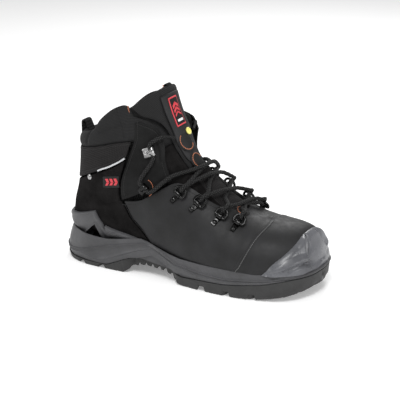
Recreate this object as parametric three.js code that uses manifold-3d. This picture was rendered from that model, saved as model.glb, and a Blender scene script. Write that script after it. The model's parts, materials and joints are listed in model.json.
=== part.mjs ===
// Steel toe work boot, right foot, ankle high, with a padded collar, D-ring lacing and a cleated sole.
// Millimetres. +X is the toe, +Y the medial (inner) side, +Z up. The ground is z = 0.
//
// The upper is one bent tube, given by stations from the toe tip (t = 0) round the ankle to the shaft.
// A point on it is (t, v): v = 0 is the instep ridge, v = -1 and v = +1 meet on the back and underfoot,
// negative v is the lateral side. Every panel is a region of (t, v), made solid between two offsets.
import * as THREE from 'three';
import { mergeVertices } from 'three/addons/utils/BufferGeometryUtils.js';
import Module from 'manifold-3d';

const wasm = await Module();
wasm.setup();

// ---- driving dimensions ----
const GAP = 0.4; // between touching pieces
const LAYER_GAP = 1; // between the layers inside, which aren't seen
const LEATHER = 2; // thickness of the outer panels, centred on the tube's surface
const CAP_STEEL = 1.8;
const LINING = 1.2;
const PAD = 9; // collar and tongue padding
const OVERLAY = 1.6; // facing panels on top of the leather
const RUBBER = 2.8; // toe bumper and heel clip, at their thin edge
const RUBBER_FLARE = 4.5; // how much thicker the clip is at the heel's back, where it stands on the sole
const LACE = 4; // lace diameter
const WIRE = 1.4; // radius of a D-ring's wire
const SOLE_END = 150; // sole tip to sole centre, so the boot is 300 long
const SOLE_HALF = 53; // half width that level insets are scaled by
const LUG_DEPTH = 5;
const SIDES = { lateral: -1, medial: 1 };
const SKIN = LEATHER / 2; // offset of a panel's faces from the tube
const FEATHER = 0.75; // |v| where the outer panels end, under the foot

// ---- the tube ----
// front: instep ridge (x, z); back: heel and underfoot line (x, z); half: half width; widest: where
// between back and front it is widest; round: squareness of the back half; mid: centre y; ridge: shift
const station = (front, back, half, widest, round, mid, ridge) => (
  [...front, ...back, half, widest, round, mid, ridge]);
const STATIONS = [
  station([140, 34], [140, 34], 0, 0.45, 2.6, 9, 0),
  station([134, 53], [138.5, 19], 27, 0.42, 2.6, 8, 0),
  station([128.5, 63], [132.5, 15], 37, 0.4, 2.8, 6, 1),
  station([116.5, 67.5], [119, 14], 44.5, 0.37, 2.9, 3, 2),
  station([100, 70], [100, 14], 49, 0.35, 3, 0, 3),
  station([85, 72], [81, 14], 50.5, 0.34, 3, -1, 4),
  station([69.5, 76], [58.5, 14], 50.5, 0.34, 3, -1.5, 4),
  station([54, 84], [33.5, 15], 48.5, 0.36, 3, -2, 4),
  station([37.5, 95], [6, 18], 45.5, 0.38, 3, -2, 3),
  station([22.5, 109], [-25.5, 23], 42.5, 0.42, 3, -1.5, 3),
  station([10.5, 123], [-62.5, 27], 40.5, 0.46, 3.1, -1, 2),
  station([0.5, 137], [-101.5, 29], 39.5, 0.5, 3.1, -0.5, 1),
  station([-7.5, 150], [-134, 40], 39.5, 0.52, 3, 0, 0),
  station([-14.5, 163], [-137.5, 60], 39.5, 0.54, 2.6, 0, 0),
  station([-20.5, 176], [-133.5, 82], 39.5, 0.55, 2.3, 0, 0),
  station([-25.5, 190], [-130.5, 105], 39.5, 0.55, 2.3, 0, 0),
  station([-29.5, 204], [-129, 128], 39.5, 0.55, 2.3, 0, 0),
  station([-33.5, 218], [-127.5, 150], 39.5, 0.55, 2.3, 0, 0),
];
const ROUND_FRONT = 2.15;
// beyond the toe tip the tube is mirrored, so that it closes smoothly there
const beforeTip = [...STATIONS[1]];
beforeTip[1] = 2 * STATIONS[0][1] - STATIONS[1][1];
beforeTip[3] = 2 * STATIONS[0][3] - STATIONS[1][3];
beforeTip[4] = -STATIONS[1][4];
const pastTop = STATIONS.at(-1).map((value, i) => 2 * value - STATIONS.at(-2)[i]);
const ROWS = [beforeTip, ...STATIONS, pastTop];

function rowAt(t) {
  const i = Math.min(Math.max(Math.floor(t), 0), STATIONS.length - 2);
  const f = t - i;
  const [a, b, c, d] = ROWS.slice(i, i + 4);
  return b.map((_, k) => 0.5 * (2 * b[k] + (c[k] - a[k]) * f
    + (2 * a[k] - 5 * b[k] + 4 * c[k] - d[k]) * f * f + (3 * b[k] - a[k] - 3 * c[k] + d[k]) * f ** 3));
}

function surface(t, v) {
  const [fx, fz, bx, bz, half, widest, round, mid, ridge] = rowAt(t);
  const co = Math.cos(Math.PI * v);
  const si = Math.sin(Math.PI * v);
  const n = co > 0 ? ROUND_FRONT : round;
  const r = (Math.abs(co) ** n + Math.abs(si) ** n) ** (-1 / n);
  const u = widest + (co > 0 ? 1 - widest : widest) * r * co;
  const y = mid + half * r * si + ridge * Math.max(r * co, 0) ** 2;
  return new THREE.Vector3(bx + (fx - bx) * u, y, bz + (fz - bz) * u);
}

const STEP = 1e-3;
const alongTube = (t, v) => surface(t + STEP, v).sub(surface(t - STEP, v)).normalize();
const roundTube = (t, v) => surface(t, v + STEP).sub(surface(t, v - STEP)).normalize();

function outward(t, v) {
  if (t < STEP) return new THREE.Vector3(1, 0, 0);
  return roundTube(t, v).cross(alongTube(t, v)).normalize();
}

const lifted = (t, v, n) => surface(t, v).addScaledVector(outward(t, v), n);

// ---- regions of the tube ----
// A node of a region is [t, v, share], where share is how far it lies from the low line to the high one.
const smooth = (points, parts) => new THREE.SplineCurve(points.map(([t, v]) => new THREE.Vector2(t, v)))
  .getPoints(parts).map((p) => [p.x, p.y]);
const straight = (points, partsEach) => [points[0], ...points.slice(1).flatMap((end, i) => (
  Array.from({ length: partsEach }, (_, k) => mix(points[i], end, (k + 1) / partsEach))))];
const mix = (a, b, f) => [a[0] + (b[0] - a[0]) * f, a[1] + (b[1] - a[1]) * f];
const mirrored = (line) => line.map(([t, v, share]) => [t, v === 0 ? 0 : -v, share]);
const sided = (grid, side) => (side < 0 ? grid : grid.map(mirrored));
const shifted = (line, dt, dv) => line.map(([t, v]) => [t + dt, v + dv]);
const reversed = (line) => line.slice().reverse();
// from a line that ends on v = 0, and from one that starts on v = -1, the whole line across both sides
const acrossRidge = (line) => [...line, ...reversed(mirrored(line.slice(0, -1)))];
const roundBack = (line) => [...reversed(line), ...mirrored(line.slice(1)).map(([t, v]) => [t, v - 2])];

const between = (low, high, parts) => Array.from({ length: parts + 1 }, (_, j) => (
  low.map((p, i) => [...mix(p, high[i], j / parts), j / parts])));

// the region inside four lines: low and high run left to right, left and right run low to high
function inside(low, high, left, right) {
  const nx = low.length - 1;
  const ny = left.length - 1;
  return left.map((_, j) => low.map((__, i) => {
    const [a, b] = [i / nx, j / ny];
    const at = (k) => (1 - b) * low[i][k] + b * high[i][k] + (1 - a) * left[j][k] + a * right[j][k]
      - (1 - a) * (1 - b) * low[0][k] - a * (1 - b) * low[nx][k] - (1 - a) * b * high[0][k] - a * b * high[nx][k];
    return [at(0), at(1), b];
  }));
}

// the station where the line at v reaches a height, between two stations that lie on either side of it
function stationAtHeight(v, height, from, to) {
  let [low, high] = [from, to];
  const rising = surface(to, v).z > surface(from, v).z;
  for (let i = 0; i < 30; i += 1) {
    const middle = (low + high) / 2;
    if ((surface(middle, v).z < height) === rising) low = middle;
    else high = middle;
  }
  return low;
}

// ---- solids ----
function geometryOf(points, triangles) {
  const geometry = new THREE.BufferGeometry();
  geometry.setAttribute('position', new THREE.Float32BufferAttribute(points.flatMap((p) => p.toArray()), 3));
  const merged = mergeVertices(geometry.setIndex(triangles.flat()), 1e-4);
  const index = Array.from(merged.index.array);
  const kept = index.map((_, i) => index.slice(i, i + 3)).filter(([a, b, c], i) => (
    i % 3 === 0 && a !== b && b !== c && c !== a));
  const { position } = merged.attributes;
  const at = (i) => new THREE.Vector3().fromBufferAttribute(position, i);
  const volume = kept.reduce((sum, [a, b, c]) => sum + at(a).dot(at(b).cross(at(c))), 0);
  merged.setIndex((volume > 0 ? kept : kept.map(([a, b, c]) => [a, c, b])).flat());
  return merged;
}

// a closed skin over joined regions, between two offsets (numbers, or functions of t, v and share)
function shell(regions, inner, outer) {
  const nodes = [];
  const seen = new Map();
  const indexOf = ([t, v, share]) => {
    const wrapped = t < STEP ? 0 : ((v + 3) % 2) - 1;
    const key = `${t.toFixed(4)} ${Math.abs(wrapped).toFixed(4) === '1.0000' ? 1 : wrapped.toFixed(4)}`;
    if (!seen.has(key)) seen.set(key, nodes.push([t, wrapped, share]) - 1);
    return seen.get(key);
  };
  const indices = regions.map((grid) => grid.map((row) => row.map(indexOf)));
  const level = (offset) => nodes.map((node) => (
    lifted(node[0], node[1], typeof offset === 'function' ? offset(...node) : offset)));
  const top = level(outer);
  const facing = indices.flatMap((index) => {
    const triangles = index.slice(1).flatMap((row, j) => row.slice(1).flatMap((corner, i) => {
      const [a, b, c, d] = [index[j][i], index[j][i + 1], corner, row[i]];
      return [[a, b, c], [a, c, d]].filter(([p, q, r]) => p !== q && q !== r && r !== p);
    }));
    const out = triangles.reduce((sum, [a, b, c]) => sum + top[b].clone().sub(top[a])
      .cross(top[c].clone().sub(top[a])).dot(outward(nodes[a][0], nodes[a][1])), 0);
    return out > 0 ? triangles : triangles.map(([a, b, c]) => [a, c, b]);
  });
  const edges = new Set(facing.flatMap(([a, b, c]) => [`${a} ${b}`, `${b} ${c}`, `${c} ${a}`]));
  const n = nodes.length;
  const all = facing.flatMap(([a, b, c]) => [[a, b, c], [a + n, c + n, b + n]]);
  for (const edge of edges) {
    const [a, b] = edge.split(' ').map(Number);
    if (!edges.has(`${b} ${a}`)) all.push([b, a, a + n], [b, a + n, b + n]);
  }
  return geometryOf([...top, ...level(inner)], all);
}

// the filled tube out to an offset, from the toe tip to a station
function filledTube(offset, end, rows, around) {
  const points = Array.from({ length: rows + 1 }, (_, j) => Array.from({ length: around }, (__, i) => (
    lifted(end * (j / rows), -1 + (2 * i) / around, offset)))).flat();
  const at = (j, i) => j * around + (i % around);
  const centre = points.push(points.slice(-around).reduce((sum, p) => sum.add(p), new THREE.Vector3())
    .divideScalar(around)) - 1;
  const triangles = Array.from({ length: around }, (_, i) => [
    ...Array.from({ length: rows }, (__, j) => [
      [at(j, i), at(j, i + 1), at(j + 1, i + 1)], [at(j, i), at(j + 1, i + 1), at(j + 1, i)]]).flat(),
    [at(rows, i), at(rows, i + 1), centre]]).flat();
  return geometryOf(points, triangles);
}

function solidOf(geometry) {
  const bare = geometry.clone();
  bare.deleteAttribute('normal');
  bare.deleteAttribute('uv');
  const merged = mergeVertices(bare, 1e-4);
  return new wasm.Manifold(new wasm.Mesh({
    numProp: 3,
    vertProperties: new Float32Array(merged.attributes.position.array),
    triVerts: new Uint32Array(merged.index.array),
  }));
}

function geometryFrom(solid) {
  const { vertProperties, triVerts } = solid.getMesh();
  const geometry = new THREE.BufferGeometry();
  geometry.setAttribute('position', new THREE.BufferAttribute(new Float32Array(vertProperties), 3));
  geometry.setIndex([...triVerts]);
  return geometry;
}

const cut = (body, tools) => geometryFrom(tools.map(solidOf).reduce((a, b) => a.subtract(b), solidOf(body)));
const join = (bodies) => geometryFrom(bodies.map(solidOf).reduce((a, b) => a.add(b)));

// wire along a flat closed loop of points in the XY plane
function wireLoop(points, radius, sides) {
  const vertices = points.flatMap((p, i) => {
    const along = points[(i + 1) % points.length].clone().sub(points.at(i - 1));
    const across = new THREE.Vector3(along.y, -along.x, 0).normalize();
    return Array.from({ length: sides }, (_, k) => {
      const angle = (2 * Math.PI * k) / sides;
      return p.clone().addScaledVector(across, radius * Math.cos(angle))
        .add(new THREE.Vector3(0, 0, radius * Math.sin(angle)));
    });
  });
  const at = (i, k) => (i % points.length) * sides + (k % sides);
  const triangles = points.flatMap((_, i) => Array.from({ length: sides }, (__, k) => [
    [at(i, k), at(i + 1, k), at(i + 1, k + 1)], [at(i, k), at(i + 1, k + 1), at(i, k + 1)]]).flat());
  return geometryOf(vertices, triangles);
}

// a path whose extrusion steps are shared out evenly between the given points
class SteppedPath extends THREE.CatmullRomCurve3 {
  getPointAt(u, target) { return this.getPoint(u, target); }

  getTangentAt(u, target) { return this.getTangent(u, target); }
}

function tube(points, diameter, steps, sides = 8) {
  const section = new THREE.Shape(Array.from({ length: sides }, (_, k) => new THREE.Vector2(
    (diameter / 2) * Math.cos((2 * Math.PI * k) / sides), (diameter / 2) * Math.sin((2 * Math.PI * k) / sides))));
  return new THREE.ExtrudeGeometry(section, {
    extrudePath: new SteppedPath(points), steps, bevelEnabled: false });
}

const boot = new THREE.Group();
function add(name, geometry, [color, roughness, metalness = 0], frame) {
  const mesh = new THREE.Mesh(geometry, new THREE.MeshStandardMaterial({ color, roughness, metalness }));
  mesh.name = name;
  if (frame) {
    mesh.position.copy(frame.position);
    mesh.quaternion.copy(frame.quaternion);
  }
  boot.add(mesh);
}

const FINISH = {
  leather: [0x3c3c3e, 0.6],
  nubuck: [0x262425, 0.95],
  textile: [0x2b292a, 0.95],
  overlay: [0x39393b, 0.8],
  sole: [0x56575b, 0.7],
  outsole: [0x47484b, 0.8],
  bumper: [0x565861, 0.5],
  steel: [0x9a9a9c, 0.35, 1],
  board: [0xb9b2a2, 0.95],
  foam: [0x6d6a66, 0.95],
  lining: [0x1f1f21, 1],
  hardware: [0x1b1b1d, 0.3, 0.8],
  chrome: [0xc9c9cc, 0.15, 1],
  red: [0xd8434a, 0.6],
  yellow: [0xf0e87a, 0.5],
  reflective: [0xc8c8c8, 0.35],
  lace: [0x1c1c1e, 0.9],
};

// ---- sole unit ----
// outline from heel tip to toe tip, (x, y), widest at the ball
const LATERAL_EDGE = [[-150, 0], [-147, -15], [-137, -28], [-118, -38], [-95, -41.5], [-62, -43], [-28, -45],
  [8, -49.5], [40, -54.2], [72, -56], [98, -53.5], [121, -47], [137, -35.5], [147, -17], [150, 6]];
const MEDIAL_EDGE = [[-150, 0], [-147, 15], [-137, 27], [-118, 36], [-95, 40], [-62, 41], [-28, 41.5],
  [8, 44.5], [40, 50.5], [72, 55.5], [98, 55.5], [121, 52.5], [137, 46], [147, 30], [150, 6]];
const OUTLINE_PARTS = 28;
// heights along the sole, (x, z)
const GROUND = [[-151, 9], [-146, 3], [-138, 0], [-64, 0], [-54, 8], [-40, 11], [-12, 9], [6, 1], [14, 0], [72, 0],
  [100, 1.2], [125, 5], [140, 9.5], [151, 14]];
const PARTING = [[-151, 12], [-64, 12], [-50, 15], [-14, 14], [6, 9], [115, 9], [130, 12.5], [142, 15.5], [151, 18]];
const BRIM = [[-151, 36], [-80, 36], [-73, 44.5], [-60, 43], [-31, 41], [-14, 36], [8, 30.5], [31, 28], [54, 27.5],
  [103, 28], [151, 28]];
const SPREAD = new THREE.Vector2(SOLE_END, SOLE_HALF);

function heightAlong(line, x) {
  const i = Math.max(line.findIndex(([end]) => end >= x), 1);
  const [[x0, z0], [x1, z1]] = [line[i - 1], line[i]];
  return z0 + (z1 - z0) * Math.min(Math.max((x - x0) / (x1 - x0), 0), 1);
}

// a solid between the outline at several levels, each (height at x, inset from the outline)
function soleSolid(levels) {
  const edge = (line, [height, inset]) => smooth(line, OUTLINE_PARTS).map(([x, y]) => new THREE.Vector3(
    x * (1 - inset / SPREAD.x), y * (1 - inset / SPREAD.y), height(x)));
  const lines = [...levels.map((level) => edge(LATERAL_EDGE, level)),
    ...reversed(levels).map((level) => edge(MEDIAL_EDGE, level))];
  const count = lines.length;
  const points = Array.from({ length: OUTLINE_PARTS + 1 }, (_, i) => lines.map((line) => line[i])).flat();
  const at = (i, k) => i * count + (k % count);
  const triangles = Array.from({ length: OUTLINE_PARTS }, (_, i) => lines.flatMap((__, k) => [
    [at(i, k), at(i + 1, k), at(i + 1, k + 1)], [at(i, k), at(i + 1, k + 1), at(i, k + 1)]])).flat();
  return geometryOf(points, triangles);
}

const CUP = SKIN + 1.2; // the midsole's cup stands clear of the leather by this offset
const GROOVES = [[-119, 12], [-91, 12], [33, -14], [70, 10], [104, 26]]; // x of each, and its turn in degrees

function makeSole() {
  const ground = (x) => heightAlong(GROUND, x);
  const parting = (x) => heightAlong(PARTING, x);
  const brim = (x) => heightAlong(BRIM, x);
  const wall = (share) => (x) => parting(x) + GAP + (brim(x) - parting(x) - GAP) * share;
  const outsole = soleSolid([[ground, 4.5], [(x) => ground(x) + 3, 2.5], [parting, 1.2]]);
  const slots = GROOVES.flatMap(([x, turn]) => [-1, 1].map((side) => {
    const slot = new THREE.BoxGeometry(5, 40, 2 * LUG_DEPTH);
    slot.rotateZ(THREE.MathUtils.degToRad(turn * side));
    return slot.translate(x, side * 38, heightAlong(GROUND, x));
  }));
  add('outsole', cut(outsole, slots), FINISH.outsole);
  const midsole = soleSolid([[wall(0), 1.2], [wall(0.28), 0], [wall(0.36), 1.6], [wall(0.9), 1.4], [wall(1), 1]]);
  add('midsole', cut(midsole, [filledTube(CUP, 14, 26, 34)]), FINISH.sole);
}

// where the toe bumper ends on the lateral side, from the sole's brim up to the ridge
const BUMPER_EDGE = [[3.39, -0.46], [2.62, -0.34], [2.17, -0.235], [2.02, -0.12], [1.97, 0]];
const BUMPER_FOOT = 28.6; // height of its lower edge
const RUBBER_IN = SKIN + 0.8;

const slabBelow = (height) => new THREE.BoxGeometry(320, 140, 40).translate(0, 0, height - 20);

// where the tube's lateral side reaches a height, below the side's widest line
function sideAtHeight(t, height) {
  let [low, high] = [-1, -0.5];
  for (let i = 0; i < 30; i += 1) {
    const middle = (low + high) / 2;
    if (surface(t, middle).z < height) low = middle;
    else high = middle;
  }
  return [t, low];
}

function makeBumper() {
  const tip = stationAtHeight(-1, BUMPER_FOOT, 0, 2);
  const foot = [0.03, 0.1, 0.25, 0.5, 0.85, 1.3, 1.8, 2.4, 3.1].map((t) => sideAtHeight(tip + t, BUMPER_FOOT));
  const edge = acrossRidge([[tip, -1], ...foot, ...smooth([sideAtHeight(3.85, BUMPER_FOOT), ...BUMPER_EDGE], 9)]);
  const rows = [0, 0.08, 0.2, 0.36, 0.56, 0.78, 1].map((f) => edge.map(([t, v]) => [t * f, v]));
  const outer = (t, v) => RUBBER_IN + RUBBER + 0.9 * Math.abs(v);
  add('toe_bumper', cut(shell([rows], RUBBER_IN, outer), [slabBelow(BUMPER_FOOT)]), FINISH.bumper);
}

const CLIP_FOOT = 36.5; // height where the heel clip stands on the sole

function makeHeelClip() {
  const foot = [-1, -0.93, -0.86].map((v) => [stationAtHeight(v, CLIP_FOOT, 11, 12.6), v]);
  const low = roundBack(straight([...foot, [11.5, -0.79], [11.36, -0.735], [11.15, -0.755], [10.95, -0.785]], 3));
  const high = roundBack(straight([[12.75, -1], [12.65, -0.9], [12.4, -0.77], [11.78, -0.65], [11.38, -0.672],
    [11.02, -0.71], [10.82, -0.73]], 3));
  const outer = (t, v, share) => RUBBER_IN + RUBBER * 0.9
    + RUBBER_FLARE * (1 - share) * Math.max(Math.abs(v) - 0.72, 0) / 0.28;
  add('heel_clip', cut(shell([between(low, high, 4)], RUBBER_IN, outer), [slabBelow(CLIP_FOOT)]), FINISH.sole);
}

// ---- soft and hard layers inside ----
const PLATE_IN = -1.2;
const BOARD_IN = PLATE_IN - GAP - 1.4;
const STIFF_OUT = -SKIN - 0.7;
const STIFF_IN = STIFF_OUT - CAP_STEEL;
const LINING_OUT = STIFF_IN - LAYER_GAP;
const LINING_IN = LINING_OUT - LINING;

// the lining is a sock, slit along the ridge and open over the tongue; its top follows the collar pad
const LINING_TOP = [[0.3, 12.7], [0.385, 13.4], [0.53, 14.25], [0.72, 15.15], [1, 15.75]]; // (|v|, t)

const LINING_ROWS = [0.4, 0.75, 1.2, 1.8, 2.8, 4.2, 5.6, 7.1, 8.6, 9.8, 10.6, 11.1, 11.5, 11.9, 12.4, 13.2, 14.4,
  15.75]; // at the back

function makeLining() {
  const slit = (t) => Math.min(0.006 + Math.max(t - 5.3, 0) * 0.2, 0.31);
  const across = 20;
  const region = LINING_ROWS.map((row) => Array.from({ length: across + 1 }, (_, i) => {
    const fraction = (row - LINING_ROWS[0]) / (LINING_ROWS.at(-1) - LINING_ROWS[0]);
    const edge = slit(LINING_ROWS[0] + 12.3 * fraction);
    const v = edge + (2 - 2 * edge) * (i / across);
    const top = heightAlong(LINING_TOP, v > 1 ? 2 - v : v);
    return [LINING_ROWS[0] + (top - LINING_ROWS[0]) * fraction, v];
  }));
  add('lining', shell([region], LINING_IN, LINING_OUT), FINISH.lining);
}

function makeUnderfoot() {
  const edge = (t) => 0.79 + 0.07 * Math.max(t - 10.6, 0);
  const region = (from, to, inset) => Array.from({ length: 15 }, (_, j) => Array.from({ length: 7 }, (__, i) => {
    const t = from + (to - from) * (j / 14);
    return [t, edge(t) + inset + (2 - 2 * (edge(t) + inset)) * (i / 6)];
  }));
  add('puncture_plate', shell([region(1, 11.5, 0)], PLATE_IN, -0.2), FINISH.steel);
  add('insole_board', shell([region(1, 11.5, 0.005)], BOARD_IN, PLATE_IN - GAP), FINISH.board);
  add('footbed', shell([region(1.3, 11.4, 0.02)], LINING_IN - LAYER_GAP - 4, LINING_IN - LAYER_GAP), FINISH.foam);
}

function makeStiffeners() {
  const brow = Array.from({ length: 17 }, (_, i) => -FEATHER + 2 * FEATHER * (i / 16));
  const edge = brow.map((v) => [4.2 - 0.5 * Math.abs(v), v]);
  const cap = [0, 0.12, 0.3, 0.5, 0.75, 1].map((f) => edge.map(([t, v]) => [0.35 + (t - 0.35) * f, v]));
  add('steel_toe_cap', shell([cap], STIFF_IN, STIFF_OUT), FINISH.steel);
  add('toe_cap_edge_pad', shell([between(shifted(edge, 0.04, 0), shifted(edge, 0.4, 0), 1)], STIFF_IN, STIFF_OUT),
    FINISH.foam);
  const low = roundBack(smooth([[12.3, -1], [12.1, -0.9], [11.3, -0.785], [10.2, -0.73]], 6));
  const high = roundBack(smooth([[13.2, -1], [13, -0.85], [12.4, -0.7], [11.6, -0.62]], 6));
  add('heel_counter', shell([between(low, high, 4)], STIFF_IN, STIFF_OUT), FINISH.board);
}

// ---- seams on the lateral side; the medial side mirrors them ----
const THROAT = 6.35;
const OVERLAY_SEAM = [[5.5, -FEATHER], [5.42, -0.58], [4.94, -0.385], [4.66, -0.255], [4.4, -0.125], [4.45, 0]];
const EYESTAY_EDGE = [[THROAT, 0], [6.75, -0.1], [7.6, -0.165], [8.6, -0.2], [9.5, -0.235], [10.05, -0.28],
  [10.4, -0.375], [10.7, -0.47], [11.2, -0.53]];
const DIAGONAL = [[9.05, -FEATHER], [9.35, -0.68], [9.8, -0.62], [10.35, -0.585], [10.83, -0.55], [11.2, -0.53]];
const BAND_SEAM = [[14.45, -1], [14.3, -0.86], [14.1, -0.75], [13.78, -0.65], [13.4, -0.56], [13.15, -0.49],
  [13.1, -0.425]];
const COLLAR_SEAM = [[16.05, -1], [15.85, -0.86], [15.45, -0.72], [15, -0.62], [14.55, -0.53], [14.1, -0.445],
  [13.75, -0.385]];
const COLLAR_TOP = [[16.75, -1], [16.6, -0.86], [16.2, -0.68], [16.35, -0.59], [16.4, -0.5], [16.2, -0.41],
  [15.9, -0.365]];
const FACING_REAR = [[14.7, -0.34], [13.7, -0.36], [13, -0.4], [12.2, -0.455], [11.3, -0.53]];
const FACING_FRONT = [[14.6, -0.31], [13.38, -0.215], [12.2, -0.205], [11.2, -0.25], [10.25, -0.28]];
const TONGUE_HINGE = 9.9;
const TONGUE_EDGE = [[TONGUE_HINGE + 0.08, -0.14], [11.3, -0.15], [12.13, -0.15], [12.85, -0.155], [13.58, -0.18],
  [14.18, -0.225], [14.83, -0.29], [15.75, -0.345]];

// ---- outer panels ----
function makeVamp() {
  const low = smooth([[5.57, -FEATHER], [7.2, -FEATHER], [9.05, -FEATHER]], 12);
  const high = [...smooth([[4.52, 0], [THROAT, 0]], 3), ...smooth(EYESTAY_EDGE, 9).slice(1)];
  const seam = smooth(shifted(OVERLAY_SEAM, 0.07, 0), 8);
  const left = [low[0], ...seam.slice(1, -1), high[0]];
  const lateral = inside(low, high, left, smooth(DIAGONAL, 8));
  add('vamp', shell([lateral, sided(lateral, 1)], -SKIN, SKIN), FINISH.leather);
}

function makeToeOverlay() {
  const front = smooth([[2.9, -FEATHER], [2.9, -0.6], [2.5, -0.46], [1.9, -0.34], [1.5, -0.17], [1.45, 0]], 10);
  const region = between(acrossRidge(front), acrossRidge(smooth(OVERLAY_SEAM, 10)), 5);
  add('toe_overlay', shell([region], -SKIN, SKIN), FINISH.overlay);
}

const BACK_SEAM = -0.995; // the two quarters meet at the back with a small gap

function makeQuarter(name, side) {
  const low = smooth([[12.4, BACK_SEAM], [12.1, -0.9], [11.4, -0.8], [10.4, -0.76], [9.2, -FEATHER]], 10);
  const high = smooth([[14.37, BACK_SEAM], ...shifted(BAND_SEAM.slice(1), -0.08, 0)], 10);
  const left = smooth([[12.4, BACK_SEAM], [14.37, BACK_SEAM]], 9);
  const right = smooth([[9.2, -FEATHER], ...shifted(DIAGONAL.slice(1, -1), 0.1, -0.012), [11.35, -0.545],
    [12.2, -0.475], high.at(-1)], 9);
  add(`quarter_${name}`, shell([sided(inside(low, high, left, right), side)], -SKIN, SKIN), FINISH.nubuck);
}

function makeCollar() {
  const seams = [shifted(BAND_SEAM, 0.04, 0), shifted(COLLAR_SEAM, -0.05, 0)]
    .map((seam) => roundBack(smooth(seam, 11)));
  add('collar_band', shell([between(...seams, 3)], -SKIN, SKIN), FINISH.textile);
  // the pad swells at half height, rolls over at its top, and runs down in front beside the tongue
  const low = roundBack(smooth([...COLLAR_SEAM, [13.1, -0.31], [12.5, -0.235]], 15));
  const high = roundBack(smooth([...COLLAR_TOP, [15.1, -0.345], [14.3, -0.262], [13.4, -0.205]], 15));
  const swell = (share) => Math.sin(Math.PI * Math.min(Math.max(share, 0.04), 0.96)) ** 0.6;
  const inner = (t, v, share) => -2.6 - (PAD - 2.6) * swell(share);
  const outer = (t, v, share) => -1.6 + 2.6 * swell(share);
  add('collar_pad', shell([between(low, high, 6)], inner, outer), FINISH.textile);
}

const FACING_IN = SKIN + GAP + 0.2;
const FACING_OUT = FACING_IN + OVERLAY;

function makeFacing(name, side) {
  const region = between(smooth(FACING_REAR, 10), smooth(FACING_FRONT, 10), 4);
  add(`facing_${name}`, shell([sided(region, side)], FACING_IN, FACING_OUT), FINISH.overlay);
}

// ---- tongue ----
const TONGUE_LOW = -SKIN - 0.8; // outer face under the lacing
const TONGUE_TURN = -0.028; // the tongue's trims sit a little to the lateral side of the ridge
const LABEL_HALF = 0.0475;
const tongueFace = (t) => Math.min(TONGUE_LOW + Math.max(t - 10.6, 0) * 2.4, 3); // rises above the throat

function makeTongue() {
  const edge = smooth([[6.15, -0.06], [6.7, -0.13], [7.6, -0.15], [8.7, -0.15], [TONGUE_HINGE - 0.08, -0.14]], 10);
  add('tongue_base', shell([between(edge, mirrored(edge), 6)], TONGUE_LOW - 4.4, TONGUE_LOW), FINISH.textile);
  const side = smooth(TONGUE_EDGE, 14);
  const swell = (t, share) => Math.sin(Math.PI * Math.min(Math.max(share, 0.04), 0.96)) ** 0.35
    * Math.min(1, 0.5 + (15.75 - t) * 0.9, 0.4 + (t - TONGUE_HINGE) * 0.5);
  const inner = (t, v, share) => tongueFace(t) - 3 - 4 * swell(t, share);
  const outer = (t, v, share) => tongueFace(t) - 1.2 + 1.2 * swell(t, share);
  add('tongue_top', shell([between(side, mirrored(side), 10)], inner, outer), FINISH.textile);
  const strapIn = (t) => tongueFace(t) + GAP;
  const strap = smooth([[TONGUE_HINGE + 0.2, -0.06], [10.6, -0.09], [11.6, -0.1], [13, -0.1],
    [15.25, -0.115]], 14);
  const turned = [strap, mirrored(strap)].map((edge) => shifted(edge, 0, TONGUE_TURN));
  add('tongue_strap', shell([between(...turned, 4)], strapIn, (t) => strapIn(t) + 1.6), FINISH.leather);
  const labelIn = (t) => strapIn(t) + 1.6 + GAP;
  const label = [-1, 1].map((edge) => [[12.75, edge * LABEL_HALF], [14.95, edge * LABEL_HALF]])
    .map((edge) => smooth(shifted(edge, 0, 1.5 * TONGUE_TURN), 6));
  add('tongue_label', shell([between(...label, 4)], labelIn, (t) => labelIn(t) + 0.8), FINISH.red);
}

function makeGusset(name, side) {
  const inner = smooth([[7, -0.165], [8.4, -0.165], [10, -0.165], [12, -0.168]], 10);
  const outer = smooth([[7, -0.24], [8.4, -0.29], [10, -0.31], [11.9, -0.29]], 10);
  add(`gusset_${name}`, shell([sided(between(inner, outer, 3), side)], -3.1, -1.9), FINISH.textile);
}

// ---- fittings, each in a frame on the tube ----
// local Y points to the tongue, local Z outwards, and local X runs along the lacing
function frameOn(t, v, offset, tilt = 0) {
  const out = outward(t, v);
  const x = alongTube(t, v).multiplyScalar(Math.sign(v) || 1);
  const basis = new THREE.Matrix4().makeBasis(x, new THREE.Vector3().crossVectors(out, x), out);
  const quaternion = new THREE.Quaternion().setFromRotationMatrix(basis);
  quaternion.multiply(new THREE.Quaternion().setFromAxisAngle(new THREE.Vector3(1, 0, 0), tilt));
  return { position: lifted(t, v, offset), quaternion };
}

const placed = (frame, x, y, z) => new THREE.Vector3(x, y, z).applyQuaternion(frame.quaternion)
  .add(frame.position);

const RING_SPOTS = [[6.13, 0.195], [7.2, 0.228], [8.47, 0.26], [9.5, 0.305]]; // each pair, from the toe up
const LOCK_SPOT = [10.95, 0.405];
const TOP_SPOT = [12.38, 0.285];
const RING_HALF = 6;
const RING_DEPTH = 9.5;
const RING_TILT = THREE.MathUtils.degToRad(25);
const BARREL_HOLE = WIRE + 0.35;
const BARREL = BARREL_HOLE + 1.1;
const BRACKET = 1.3; // thickness of the fixing plates
const RING_LIFT = SKIN + GAP + BARREL; // height of a ring's bar above the tube

function ringGeometry() {
  const arc = Array.from({ length: 7 }, (_, i) => {
    const angle = (Math.PI * i) / 6;
    return new THREE.Vector3(RING_HALF * Math.cos(angle), RING_DEPTH - RING_HALF + RING_HALF * Math.sin(angle), 0);
  });
  const bar = [[-RING_HALF, 1.2], [-RING_HALF + 1.2, 0], [0, 0], [RING_HALF - 1.2, 0], [RING_HALF, 1.2]];
  return wireLoop([...arc, ...bar.map(([x, y]) => new THREE.Vector3(x, y, 0))], WIRE, 6);
}

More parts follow.
